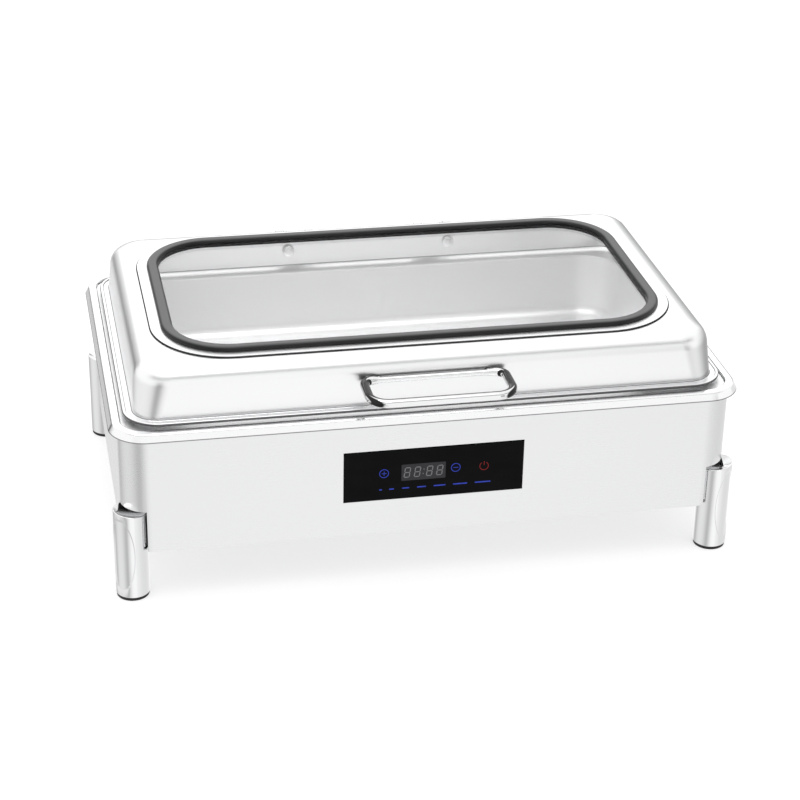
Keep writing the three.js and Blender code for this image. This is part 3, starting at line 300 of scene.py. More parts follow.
def polished(name, slot, tone, roughness, reflection_bands=False):
    """Mirror plating with the faintest haze and handling marks.

    A rod with reflection_bands has painted dark reflections along its flanks and its inner edge.
    """
    finish = Finish(name, slot)
    graph = finish.graph
    haze = graph.noise((45.0, 45.0, 45.0), 5.0, 0.6)
    marks = graph.noise((160.0, 160.0, 700.0), 3.0, 0.7).between(0.62, 0.8)
    rough = haze * 0.02 + marks * 0.03 + roughness
    colour = graph.ramp(haze, [
        (0.3, (tone * 0.985, tone * 0.99, tone)), (0.7, (tone, tone, tone))])
    if reflection_bands:
        # painted reflection: dark bands by surface direction along the flanks and the inner edge
        facing_x, facing_y, facing_z = graph.parts("Normal")
        flank = facing_x.size().window(0.3, 0.4, 0.8, 0.86)
        inner = facing_y.between(-0.2, -0.08) * facing_z.between(0.4, 0.6)
        colour = graph.mixed(flank.or_larger(inner) * 0.97, colour, REFLECTION_DARK)
    return finish.end(finish.principled(
        Base_Color=colour, Metallic=1.0, Roughness=rough,
        Normal=finish.bump(haze, 0.02, 0.0002)))


def drawn_pan(name, slot, tone, roughness):
    """Deep-drawn pan steel: polished, with soft drawing lines and water marks."""
    finish = Finish(name, slot)
    graph = finish.graph
    lines = graph.noise((30.0, 30.0, 1500.0), 3.0, 0.6)
    floor_lines = graph.noise((7.0, 1500.0, 30.0), 3.0, 0.6)
    marks = graph.noise((9.0, 9.0, 9.0), 2.0, 0.5)
    rough = lines * 0.04 + floor_lines * 0.04 + marks * 0.02 + (roughness - 0.05)
    colour = graph.ramp(lines * 0.5 + marks * 0.5, [
        (0.2, (tone, tone, tone * 1.005)), (0.8, (tone * 0.98, tone * 0.982, tone * 0.985))])
    return finish.end(finish.principled(
        Base_Color=colour, Metallic=1.0, Roughness=rough,
        Normal=finish.bump(lines + floor_lines, 0.08, 0.00003)))


def galvanised(name, slot, tone, roughness):
    """Zinc-plated or cast metal, with a fine crystal mottle."""
    finish = Finish(name, slot)
    graph = finish.graph
    cells = graph.add("ShaderNodeTexVoronoi", {"feature": "F1"}, {
        "Vector": graph.spread((1.0, 1.0, 1.0)), "Scale": 420.0}).value("Distance")
    grime = graph.noise((60.0, 60.0, 60.0), 5.0, 0.6)
    rough = cells * 0.1 + grime * 0.12 + (roughness - 0.1)
    colour = graph.ramp(cells * 0.4 + grime * 0.6, [
        (0.25, (tone * 0.85, tone * 0.86, tone * 0.88)), (0.75, (tone, tone, tone * 1.01))])
    return finish.end(finish.principled(
        Base_Color=colour, Metallic=1.0, Roughness=rough,
        Normal=finish.bump(grime, 0.1, 0.0001)))


def matt(name, slot, dark, light, roughness, scale, relief, specular=0.5):
    """Rubber, plastic, board lacquer or wool: a fine grain over one colour."""
    finish = Finish(name, slot)
    graph = finish.graph
    grain = graph.noise((scale, scale, scale), 6.0, 0.65)
    wear = graph.noise((25.0, 25.0, 25.0), 4.0, 0.6)
    colour = graph.ramp(grain * 0.5 + wear * 0.5, [(0.3, dark), (0.7, light)])
    return finish.end(finish.principled(
        Base_Color=colour, Roughness=grain * 0.08 + wear * 0.08 + (roughness - 0.08),
        Specular_IOR_Level=specular, Normal=finish.bump(grain, relief, 0.0002)))


def gasket_rubber():
    """Black rubber with a painted sheen that lightens its up-facing top, plus a little random
    wear.
    """
    finish = Finish("black rubber", "black_rubber")
    graph = finish.graph
    # painted sheen: up-facing faces of the rubber are lighter grey; the noise below is wear
    top = graph.parts("Normal")[2].between(0.72, 1.0)
    wear = graph.noise((40.0, 40.0, 40.0), 4.0, 0.6)
    colour = graph.ramp(top * 0.9 + wear * 0.1, [
        (0.1, (0.004, 0.004, 0.0045)), (0.95, (0.095, 0.095, 0.097))])
    return finish.end(finish.principled(
        Base_Color=colour, Roughness=wear * 0.08 + 0.3, Specular_IOR_Level=0.35))


def black_panel_glass():
    finish = Finish("black panel glass", "black_glass")
    graph = finish.graph
    smears = graph.noise((30.0, 30.0, 60.0), 5.0, 0.6)
    colour = graph.ramp(smears, [(0.3, (0.0025, 0.0025, 0.003)), (0.7, (0.004, 0.004, 0.0045))])
    return finish.end(finish.principled(
        Base_Color=colour, Roughness=smears * 0.05 + 0.06, Specular_IOR_Level=0.045))


def window_pane():
    finish = Finish("clear window glass", "clear_glass")
    graph = finish.graph
    dust = graph.noise((35.0, 35.0, 35.0), 5.0, 0.6)
    pane = finish.principled(
        Base_Color=(0.99, 0.99, 0.99, 1), Roughness=dust * 0.012, IOR=1.45,
        Transmission_Weight=1.0)
    open_to_lamps = graph.add("ShaderNodeBsdfTransparent", None, {
        "Color": (0.96, 0.96, 0.96, 1)}).out()
    lamp_ray = graph.add("ShaderNodeLightPath").value("Is Shadow Ray")
    return finish.end(graph.add("ShaderNodeMixShader", None, {
        "Fac": lamp_ray, "Shader": pane, "Shader_001": open_to_lamps}).out())


def lit(name, colour, dim, strength):
    """A printed symbol lit from behind, a little uneven."""
    finish = Finish(name, "black_glass")
    graph = finish.graph
    glow = graph.noise((260.0, 260.0, 260.0), 2.0, 0.5)
    shown = graph.ramp(glow, [(0.3, dim), (0.7, colour)])
    return finish.end(finish.principled(
        Base_Color=(0.01, 0.01, 0.01, 1), Roughness=0.3, Specular_IOR_Level=0.1,
        Emission_Color=shown, Emission_Strength=strength))


# heights of painted shade bands: the lid's flange bead and wall foot, its bezel foot, and the
# rim's top under the lid edge
LID_SHADE_BANDS = ((171.0, 173.9), (219.2, 221.0))
RIM_SHADE_BANDS = ((162.0, 163.4),)
SATIN = brushed("satin steel", "satin_steel", 0.97, 0.3, 0.03, 0.06, LID_SHADE_BANDS,
                darkness=0.9, shoulder_shade=0.6)
SKIRT_STEEL = brushed("satin skirt steel", "satin_steel", 0.855, 0.28, 0.04, 0.08)
RIM_STEEL = brushed("satin rim steel", "satin_steel", 0.94, 0.16, 0.04, 0.1, RIM_SHADE_BANDS)
PAN_STEEL = drawn_pan("drawn pan steel", "pan_steel", 0.95, 0.42)
CHROME = polished("mirror chrome", "chrome", 0.88, 0.02)
HANDLE_CHROME = polished("handle chrome", "chrome", 0.85, 0.02, reflection_bands=True)
ZINC = galvanised("zinc-plated steel", "zinc_steel", 0.62, 0.38)
ALUMINIUM = galvanised("rolled aluminium", "aluminium", 0.78, 0.42)
HINGE_STEEL = brushed("hinge steel", "zinc_steel", 0.82, 0.24, 0.06, 0.15)
LEAF_STEEL = brushed("hinge leaf steel", "satin_steel", 0.88, 0.2, 0.05, 0.15)
RUBBER = gasket_rubber()
FOOT_RUBBER = matt("foot rubber", "black_rubber", (0.008, 0.008, 0.008),
                   (0.016, 0.016, 0.016), 0.7, 900.0, 0.3)
PLASTIC = matt("black plastic", "black_plastic", (0.012, 0.012, 0.013),
               (0.022, 0.022, 0.023), 0.45, 1400.0, 0.2)
BOARD = matt("circuit board", "board_green", (0.01, 0.10, 0.05), (0.02, 0.15, 0.07),
             0.4, 700.0, 0.15)
WOOL = matt("insulation wool", "wool", (0.62, 0.58, 0.5), (0.86, 0.83, 0.76),
            0.95, 500.0, 0.9)
PANEL_GLASS = black_panel_glass()
WINDOW_GLASS = window_pane()
BLUE_LIGHT = lit("blue symbol light", (0.045, 0.085, 0.72, 1), (0.03, 0.06, 0.5, 1), 0.7)
RED_LIGHT = lit("red symbol light", (0.42, 0.012, 0.012, 1), (0.3, 0.01, 0.01, 1), 0.6)
DISPLAY_FACE = matt("display face", "black_glass", (0.030, 0.030, 0.033),
                    (0.042, 0.042, 0.045), 0.3, 400.0, 0.02, 0.1)
DIGIT_GREY = matt("unlit digits", "black_glass", (0.15, 0.15, 0.155),
                  (0.21, 0.21, 0.215), 0.4, 400.0, 0.02, 0.1)

# ---- making pieces

CORNER_STEPS = 20
TURN_STEPS = 64
SHARP = math.radians(32)


def new_object(mesh, name):
    made = bpy.data.objects.new(name, mesh)
    scene.collection.objects.link(made)
    return made


def from_bmesh(bm, name):
    """A bmesh drawn in millimetres becomes an object in metres."""
    bmesh.ops.remove_doubles(bm, verts=bm.verts, dist=1e-4)
    bmesh.ops.scale(bm, vec=(MM, MM, MM), verts=bm.verts)
    mesh = bpy.data.meshes.new(name)
    bm.to_mesh(mesh)
    bm.free()
    return new_object(mesh, name)


def settle(shape):
    """Applies the modifiers of a shape."""
    graph = bpy.context.evaluated_depsgraph_get()
    mesh = bpy.data.meshes.new_from_object(shape.evaluated_get(graph))
    shape.modifiers.clear()
    shape.data = mesh
    return shape


def combine(shape, *steps):
    """Joins or cuts a shape with others, given as (operation, other)."""
    for operation, other in steps:
        boolean = shape.modifiers.new("boolean", "BOOLEAN")
        boolean.operation = operation
        boolean.object = other
        boolean.solver = "EXACT"
    settle(shape)
    for _, other in steps:
        if other.name in scene.objects:
            bpy.data.objects.remove(other)
    return shape


def finished(shape, name, body, finish, stands_for=(), edge=0.0):
    """Names a shape, smooths it, gives it its finish and body, and hides its CAD nodes."""
    shape.name = name
    shape.data.name = name
    shape.data.materials.clear()
    shape.data.materials.append(finish.material)
    shape.data.shade_smooth()
    if edge:
        bevel = shape.modifiers.new("edge", "BEVEL")
        bevel.width = edge * MM
        bevel.segments = 2
        bevel.limit_method = "ANGLE"
        bevel.angle_limit = SHARP
        bevel.use_clamp_overlap = True
        settle(shape)
        shape.data.shade_smooth()
    shape.data.set_sharp_from_angle(angle=SHARP)
    shape.modifiers.new("flat faces", "WEIGHTED_NORMAL").keep_sharp = True
    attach(shape, body)
    if stands_for:
        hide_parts(*stands_for)
    return shape


def rounded_loop(bm, x, y, corner, z, middle, steps=CORNER_STEPS):
    """Edges of a rounded rectangle with half sizes x and y, about a middle."""
    known = set(bm.faces)
    corners = bmesh.ops.create_grid(bm, x_segments=1, y_segments=1, size=1.0)["verts"]
    bmesh.ops.scale(bm, vec=(x, y, 1), verts=corners)
    bmesh.ops.translate(bm, vec=(middle[0], middle[1], z), verts=corners)
    bmesh.ops.bevel(bm, geom=corners, offset=corner, offset_type="OFFSET",
                    segments=steps, profile=0.5, affect="VERTICES", material=-1)
    face = next(f for f in bm.faces if f not in known)
    edges = list(face.edges)
    bm.faces.remove(face)
    return edges


def fold(bm, edges, radius, steps):
    """Rounds a fold along some edges."""
    bmesh.ops.bevel(bm, geom=[e for e in edges if e.is_valid], offset=radius,
                    offset_type="OFFSET", segments=steps, profile=0.5,
                    affect="EDGES", material=-1, clamp_overlap=False)


def pressed(rings, middle, sheet, filled=False, faces_up=True, closed=False,
            steps=CORNER_STEPS):
    """Sheet pressed around rounded rectangles, given as (x, y, corner, z, fold radius).

    The sheet grows behind the drawn side, which looks mostly up or mostly down.
    """
    bm = bmesh.new()
    loops = [rounded_loop(bm, x, y, corner, z, middle, steps)
             for x, y, corner, z, _ in rings]
    pairs = list(zip(loops, loops[1:]))
    if closed:
        pairs.append((loops[-1], loops[0]))
    for first, second in pairs:
        bmesh.ops.bridge_loops(bm, edges=first + second)
    if filled:
        bmesh.ops.edgeloop_fill(bm, edges=loops[-1])
    bmesh.ops.recalc_face_normals(bm, faces=bm.faces)
    upward = sum(f.normal.z * f.calc_area() for f in bm.faces)
    if not closed and (upward > 0) != faces_up:
        bmesh.ops.reverse_faces(bm, faces=bm.faces)
    for edges, (_, _, _, _, radius) in zip(loops, rings):
        if radius:
            fold(bm, edges, radius, 6 if radius > 2 else 4)
    shape = from_bmesh(bm, "pressed")
    if sheet:
        solid = shape.modifiers.new("sheet", "SOLIDIFY")
        solid.thickness = sheet * MM
        solid.offset = -1
        solid.use_even_offset = True
        settle(shape)
    return shape


def turned(outline, place=(0, 0, 0), axis="Z", steps=TURN_STEPS):
    """Turned solid from an outline of (radius, height, fold radius), axis to axis."""
    bm = bmesh.new()
    verts = [bm.verts.new((radius, 0, height)) for radius, height, _ in outline]
    edges = [bm.edges.new(pair) for pair in zip(verts, verts[1:])]
    bmesh.ops.spin(bm, geom=verts + edges, cent=(0, 0, 0), axis=(0, 0, 1),
                   angle=math.tau, steps=steps, use_merge=True)
    bmesh.ops.remove_doubles(bm, verts=bm.verts, dist=1e-4)
    bmesh.ops.recalc_face_normals(bm, faces=bm.faces)
    for radius, height, rounding in outline:
        if rounding:
            ring = [e for e in bm.edges if all(
                abs(v.co.z - height) < 1e-3 and abs(v.co.xy.length - radius) < 1e-3
                for v in e.verts)]
            fold(bm, ring, rounding, 4)
    if axis == "X":
        bmesh.ops.rotate(bm, matrix=Matrix.Rotation(math.pi / 2, 3, "Y"), verts=bm.verts)
    elif axis == "Y":
        bmesh.ops.rotate(bm, matrix=Matrix.Rotation(-math.pi / 2, 3, "X"), verts=bm.verts)
    bmesh.ops.translate(bm, vec=place, verts=bm.verts)
    return from_bmesh(bm, "turned")


def rod(radius, low, high, place, axis="X", rounding=0.4, steps=32):
    """Round bar along an axis, from low to high on it."""
    return turned([(0, low, 0), (radius, low, rounding), (radius, high, rounding),
                   (0, high, 0)], place, axis, steps)


def block(low, high, rounding=0.0):
    """Box between two corners, with rounded edges."""
    bm = bmesh.new()
    verts = bmesh.ops.create_cube(bm, size=1.0)["verts"]
    low, high = Vector(low), Vector(high)
    bmesh.ops.scale(bm, vec=high - low, verts=verts)
    bmesh.ops.translate(bm, vec=(low + high) / 2, verts=verts)
    if rounding:
        fold(bm, bm.edges[:], rounding, 3)
    return from_bmesh(bm, "block")


def rounded_block(bm, x, y, corner, levels, middle, steps=CORNER_STEPS):
    """Closed block with round corners between two levels; gives its two outlines."""
    loops = [rounded_loop(bm, x, y, corner, z, middle, steps) for z in levels]
    bmesh.ops.bridge_loops(bm, edges=loops[0] + loops[1])
    for loop in loops:
        bmesh.ops.edgeloop_fill(bm, edges=loop)
    return loops


def spanning(first, second, low, high):
    """Block between two (x, y) corners in any order, from low to high."""
    return block((min(first[0], second[0]), min(first[1], second[1]), low),
                 (max(first[0], second[0]), max(first[1], second[1]), high))


def face_plate(x, z, corner, front, back, middle, rounding):
    """Upright plate with round corners, facing -Y between front and back."""
    bm = bmesh.new()
    loops = rounded_block(bm, x, z, corner, (back, front), (0, 0), 6)
    if rounding:
        fold(bm, loops[1], rounding, 3)
    bmesh.ops.rotate(bm, matrix=Matrix(((1, 0, 0), (0, 0, 1), (0, 1, 0))), verts=bm.verts)
    bmesh.ops.translate(bm, vec=(middle[0], 0, middle[1]), verts=bm.verts)
    bmesh.ops.recalc_face_normals(bm, faces=bm.faces)
    return from_bmesh(bm, "plate")


def turned_copy(shape, angle, place):
    """Copy of a shape, turned about Z and moved, in millimetres."""
    copy = new_object(shape.data.copy(), shape.name)
    copy.data.transform(Matrix.Translation(Vector(place) * MM)
                        @ Matrix.Rotation(angle, 4, "Z"))
    return copy


def discard(*shapes):
    for shape in shapes:
        bpy.data.objects.remove(shape)


def corners():
    """Name of each corner of the housing, and its signs in X and Y."""
    for row, side_y in (("front", -1), ("rear", 1)):
        for column, side_x in (("left", -1), ("right", 1)):
            yield f"{row}_{column}", side_x, side_y


# ---- housing

skirt = Place("housing_skirt")
rim = Place("base_rim")
leg = Place("leg_front_left")
glass_panel = Place("control_panel_glass")
inlet = Place("power_inlet")
centre_y = skirt.middle.y
middle = (0, centre_y)

SKIRT_CORNER = 26.2
SKIRT_SHEET = 1.2
SKIRT_RETURN = 10
NOTCH_SIDE = 14.2          # notch edge, inward from the leg axis
NOTCH_ROUND = 15.9
NOTCH_TOP = 89.8
OPENING_GAP = 0.4
INLET_FLANGE = 4
BEYOND = 6                 # a cut runs past the sheet by this much


def make_skirt():
    x, y = skirt.half.x, skirt.half.y
    shape = pressed([
        (x - SKIRT_RETURN, y - SKIRT_RETURN, SKIRT_CORNER - SKIRT_RETURN, skirt.low.z, 0),
        (x, y, SKIRT_CORNER, skirt.low.z, 1.6),
        (x, y, SKIRT_CORNER, skirt.high.z, 0),
    ], middle, SKIRT_SHEET, faces_up=False)
    below = skirt.low.z - BEYOND
    post_x, post_y = -leg.middle.x, centre_y - leg.middle.y
    cuts = []
    for _, side_x, side_y in corners():
        inner = (side_x * (post_x - NOTCH_SIDE), centre_y + side_y * (post_y - NOTCH_SIDE))
        outer = (side_x * (x + BEYOND), centre_y + side_y * (y + BEYOND))
        cuts.append(spanning(inner, outer, below, NOTCH_TOP))
        cuts.append(rod(NOTCH_ROUND, below, NOTCH_TOP,
                        (side_x * post_x, centre_y + side_y * post_y, 0), "Z", 0, 96))
    gap = OPENING_GAP
    cuts.append(block(
        (glass_panel.low.x - gap, skirt.low.y - BEYOND, glass_panel.low.z - gap),
        (glass_panel.high.x + gap, skirt.low.y + BEYOND, glass_panel.high.z + gap)))
    inset = INLET_FLANGE + 0.3
    cuts.append(block(
        (inlet.low.x + inset, skirt.high.y - BEYOND, inlet.low.z + inset),
        (inlet.high.x - inset, skirt.high.y + BEYOND, inlet.high.z - inset)))
    combine(shape, *[("DIFFERENCE", cut) for cut in cuts])
    finished(shape, "skirt_wall", "base", SKIRT_STEEL, ["housing_skirt"], edge=0.25)


RIM_FLARE = 4
RIM_CORNER = 30
RIM_BAND = 7
RIM_LEDGE = 7
RIM_SHEET = 1.5
LEDGE_DROP = 3.7
RIM_DROP = 7.4


def make_rim():
    x, y = rim.half.x - RIM_FLARE, rim.half.y - RIM_FLARE
    top = rim.high.z
    ledge = top - LEDGE_DROP
    out = [(RIM_FLARE, top - RIM_DROP, 0), (0.2, top, 1.5), (-RIM_BAND, top, 0.8),
           (-RIM_BAND, ledge, 0.5), (-RIM_BAND - RIM_LEDGE, ledge, 1.0),
           (-RIM_BAND - RIM_LEDGE, rim.low.z, 0)]
    rings = [(x + o, y + o, RIM_CORNER + o, z, radius) for o, z, radius in out]
    shape = pressed(rings, middle, RIM_SHEET)
    finished(shape, "rim_frame", "base", RIM_STEEL, ["base_rim"], edge=0.3)


PAN_DRAFT = 7
PAN_SHEET = 1.2
PAN_FOLD = 2.2
PAN_EASE = 0.3             # the fold widens the mouth by this much


def make_pan(node, name, body, corner, flange_corner, open_half, floor_round):
    """Open pan, drawn as its inside face with the sheet behind it."""
    pan = Place(node)
    open_x, open_y = open_half
    rings = [
        (pan.half.x, pan.half.y, flange_corner, pan.high.z, 0),
        (open_x + PAN_EASE, open_y + PAN_EASE, corner, pan.high.z, PAN_FOLD),
        (open_x - PAN_DRAFT, open_y - PAN_DRAFT, corner - PAN_DRAFT, pan.low.z + PAN_SHEET,
         floor_round),
    ]
    shape = pressed(rings, middle, PAN_SHEET, filled=True)
    finished(shape, name, body, PAN_STEEL, [node], edge=0.3)


make_skirt()
make_rim()
make_pan("water_pan", "water_well", "base", corner=46, flange_corner=23,
         open_half=(261.7, 153.2), floor_round=14)
make_pan("food_pan", "serving_pan", "food_pan", corner=42, flange_corner=24,
         open_half=(256.5, 148), floor_round=12)

# ---- legs

LEG_RADIUS = 15.4
LEG_TOP = 86.8
LEG_SLANT = 2.3
LEG_EDGE = 0.8
LEG_DISH = 3
LEG_FLAT = 9.5
POCKET_HALF = 9.6
POCKET_TOP = 81.8
SCOOP_CHORD = 6.4          # sets the outline of the side recess
SCOOP_DEPTH = 1.0          # how deep the recess really goes
SCOOP_HEIGHT = 76
SCOOP_DROP = 41
DISH_STEPS = 10
RECESS_SIDE = 16           # box wall, inward from the leg axis
RECESS_SHEET = 0.9


def leg_blank(low, outward):
    """Round post with a dished top that rises toward the side at this angle."""
    dish = LEG_RADIUS - LEG_EDGE
    bowl = (dish * dish + LEG_DISH * LEG_DISH) / (2 * LEG_DISH)
    outline = [(0, low, 0), (LEG_RADIUS, low, 0.6), (LEG_RADIUS, LEG_TOP, 0.5),
               (dish, LEG_TOP, 0.2)]
    for step in range(1, DISH_STEPS + 1):
        radius = dish * (1 - step / DISH_STEPS)
        drop = math.sqrt(bowl * bowl - radius * radius) - (bowl - LEG_DISH)
        outline.append((radius, LEG_TOP - drop, 0))
    shape = turned(outline, steps=96)
    bm = bmesh.new()
    bm.from_mesh(shape.data)
    slant = Matrix.Identity(4)
    slant[2][0] = LEG_SLANT / LEG_RADIUS * math.cos(outward)
    slant[2][1] = LEG_SLANT / LEG_RADIUS * math.sin(outward)
    bmesh.ops.transform(bm, matrix=slant, verts=[
        v for v in bm.verts if v.co.z > (LEG_TOP - 2 * LEG_DISH) * MM])
    bm.to_mesh(shape.data)
    bm.free()
    return shape


def make_legs():
    low = leg.low.z
    half = SCOOP_HEIGHT / 2
    sweep = (half * half + SCOOP_CHORD * SCOOP_CHORD) / (2 * SCOOP_CHORD)
    cutter = turned([(0, -30, 0), (sweep, -30, 0), (sweep, 30, 0), (0, 30, 0)],
                    (-(LEG_RADIUS - SCOOP_CHORD) - sweep, 0, LEG_TOP - SCOOP_DROP), "Y", 360)
    core = turned([(0, -40, 0), (LEG_RADIUS - SCOOP_DEPTH, -40, 0),
                   (LEG_RADIUS - SCOOP_DEPTH, 130, 0), (0, 130, 0)], steps=96)
    combine(cutter, ("DIFFERENCE", core))
    foot_box = Place("foot_pad_front_left")
    foot = turned([(0, 0, 0), (foot_box.half.x, 0, 0.8), (foot_box.half.x, 3, 0.3),
                   (4.6, 3, 0), (4.6, foot_box.high.z, 1), (0, foot_box.high.z, 0)])
    for corner, side_x, side_y in corners():
        place = Place("leg_" + corner).middle.copy()
        place.z = 0
        inward = math.atan2(-side_y, -side_x)
        casting = leg_blank(low, (0 if side_x > 0 else math.pi) - inward)
        pocket = block((LEG_FLAT, -POCKET_HALF, skirt.low.z), (30, POCKET_HALF, POCKET_TOP))
        combine(casting, ("DIFFERENCE", turned_copy(cutter, 0, (0, 0, 0))),
                ("DIFFERENCE", pocket))
        finished(turned_copy(casting, inward, place), "leg_post_" + corner, "base",
                 CHROME, ["leg_" + corner])
        finished(turned_copy(foot, inward, place), "foot_" + corner, "base",
                 FOOT_RUBBER, ["foot_pad_" + corner])
        discard(casting)
    discard(cutter, foot)


def make_recesses():
    """Sheet boxes that close the housing behind the legs."""
    low = skirt.low.z + 0.2
    inset = SKIRT_SHEET + 0.1
    for corner, side_x, side_y in corners():
        post = Place("leg_" + corner).middle
        near = (post.x - side_x * RECESS_SIDE, post.y - side_y * RECESS_SIDE)
        far = (side_x * skirt.half.x, centre_y + side_y * skirt.half.y)
        back = (near[0] - side_x * RECESS_SHEET, near[1] - side_y * RECESS_SHEET)
        beyond = (far[0] + side_x * BEYOND, far[1] + side_y * BEYOND)
        shape = spanning(back, far, low, NOTCH_TOP + RECESS_SHEET)
        inside = bmesh.new()
        rounded_block(inside, skirt.half.x - inset, skirt.half.y - inset,
                      SKIRT_CORNER - inset, (skirt.low.z - BEYOND, skirt.high.z), middle)
        bmesh.ops.recalc_face_normals(inside, faces=inside.faces)
        tab = block((0, -POCKET_HALF, low - BEYOND), (60, POCKET_HALF, POCKET_TOP))
        passage = turned_copy(tab, math.atan2(-side_y, -side_x), (post.x, post.y, 0))
        discard(tab)
        combine(shape, ("INTERSECT", from_bmesh(inside, "inside")),
                ("DIFFERENCE", spanning(near, beyond, low - BEYOND, NOTCH_TOP)),
                ("DIFFERENCE", passage))
        finished(shape, "leg_recess_" + corner, "base", SKIRT_STEEL)


make_legs()
make_recesses()

# ---- lid

lid = Place("lid_shell")
LID_WALL = 8.9             # wall foot, inward from the flange edge
LID_HEM = 4.5              # turned-under edge, outward from the wall foot
LID_CORNER = 24
LID_TOP_CORNER = 34
LID_SHEET = 1.2
LID_DRAFT = 3
LID_SHOULDER = 16
LID_FLAT = 2.0
BEAD_WIDTH = 3.0
BEAD_RISE = 0.9
BEZEL_IN_X = 23.7
BEZEL_IN_Y = 20.6
BEZEL_RISE = 1.5
BEZEL_CORNER = 72.2
# width of the black strip that paints the shadow line at the bezel foot
BEZEL_SHADOW_WIDTH = 0.9
HOLE_CORNER = 54.8
HOLE_X = 230
HOLE_Y = 125.9


def make_lid():
    x, y = lid.half.x - LID_WALL, lid.half.y - LID_WALL
    low = lid.low.z + 0.1
    flat = lid.low.z + LID_FLAT
    bead = flat + BEAD_RISE
    top = lid.high.z - BEZEL_RISE
    rim_x, rim_y, rim_corner = x + LID_WALL, y + LID_WALL, LID_CORNER + LID_WALL
    step = BEAD_WIDTH + 0.3
    bezel_x = x - BEZEL_IN_X
    bezel_y = y - BEZEL_IN_Y
    rings = [
        (x + LID_HEM, y + LID_HEM, LID_CORNER + LID_HEM, low, 0),
        (rim_x, rim_y, rim_corner, low, 1.3),
        (rim_x, rim_y, rim_corner, bead, 1.2),
        (rim_x - BEAD_WIDTH, rim_y - BEAD_WIDTH, rim_corner - BEAD_WIDTH, bead, 0.4),
        (rim_x - step, rim_y - step, rim_corner - step, flat, 0.3),
        (x + 0.3, y + 0.3, LID_CORNER + 0.3, flat, 1.0),
        (x - LID_DRAFT, y - LID_DRAFT, LID_TOP_CORNER, top, LID_SHOULDER),
        (bezel_x, bezel_y, BEZEL_CORNER, top, 0.15),
        (bezel_x, bezel_y, BEZEL_CORNER, top + BEZEL_RISE, 0.25),
        (HOLE_X, HOLE_Y, HOLE_CORNER, top + BEZEL_RISE, 0),
    ]
    shape = pressed(rings, middle, LID_SHEET)
    finished(shape, "lid_cover", "lid", SATIN, ["lid_shell"], edge=0.2)
    # painted shade: a thin black strip round the bezel foot stands in for the shadow line there
    line = [(BEZEL_SHADOW_WIDTH, -0.4), (BEZEL_SHADOW_WIDTH, 0.3), (-0.2, 0.3), (-0.2, -0.4)]
    shape = pressed([(bezel_x + out, bezel_y + out, BEZEL_CORNER + out, top + rise, 0)
                     for out, rise in line], middle, 0, closed=True)
    finished(shape, "bezel_shadow_line", "lid", FOOT_RUBBER)


SEAL_X = 234.1
SEAL_Y = 130
SEAL_CORNER = 63
SEAL_WIDTH = 11.2
SEAL_GLASS = 4.4           # groove that holds the pane
SEAL_STEM = 1.5            # stem that passes through the lid
SEAL_NECK = 4.4            # groove that holds the edge of the lid
PANE_CORNER = SEAL_CORNER - 7.1


def make_window():
    seal = Place("window_seal")
    pane = Place("window_glass")
    bead = lid.high.z + 0.3
    neck = lid.high.z - LID_SHEET - 0.3

    def ring(inset, z, radius):
        return (SEAL_X - inset, SEAL_Y - inset, SEAL_CORNER - inset, z, radius)

    shape = pressed([
        ring(0.2, bead, 0),
        ring(0.2, seal.high.z, 3.6),
        ring(SEAL_WIDTH, seal.high.z - 0.3, 3.2),
        ring(SEAL_WIDTH, pane.high.z + 0.2, 0),
        ring(SEAL_WIDTH - SEAL_GLASS, pane.high.z + 0.2, 0),
        ring(SEAL_WIDTH - SEAL_GLASS, pane.low.z - 0.3, 0),
        ring(SEAL_WIDTH, pane.low.z - 0.3, 0.5),
        ring(SEAL_WIDTH, seal.low.z, 0.5),
        ring(SEAL_STEM, seal.low.z, 0.5),
        ring(SEAL_STEM, neck, 0),
        ring(SEAL_NECK, neck, 0),
        ring(SEAL_NECK, bead, 0),
    ], middle, 0, closed=True, steps=28)
    finished(shape, "window_gasket", "lid", RUBBER, ["window_seal"])
    bm = bmesh.new()
    levels = (pane.low.z, pane.high.z)
    for loop in rounded_block(bm, pane.half.x, pane.half.y, PANE_CORNER, levels, middle, 28):
        fold(bm, loop, 0.4, 2)
    bmesh.ops.recalc_face_normals(bm, faces=bm.faces)
    finished(from_bmesh(bm, "pane"), "window_pane", "lid", WINDOW_GLASS, ["window_glass"])


def make_bumpers():
    for side in ("left", "right"):
        for number in (1, 2):
            node = f"lid_bumper_{side}_{number}"
            stop = Place(node)
            shape = turned([(0, stop.low.z, 0), (stop.half.x, stop.low.z, 0.5),
                            (stop.half.x, stop.high.z, 0.2), (0, stop.high.z, 0)],
                           (stop.middle.x, stop.middle.y, 0), steps=28)
            finished(shape, f"lid_stop_{side}_{number}", "lid", FOOT_RUBBER, [node])


make_lid()
make_window()
make_bumpers()

# ---- handle

handle = Place("lid_handle")
ROD_RADIUS = 4.1
BACK_RADIUS = 2.8
BOSS_RADIUS = 3.4
HANDLE_REACH = 47.2        # between the middles of the front and back rods
FRONT_BEND = 17
BACK_BEND = 9
TAPER = 7
BEND_STEPS = 14


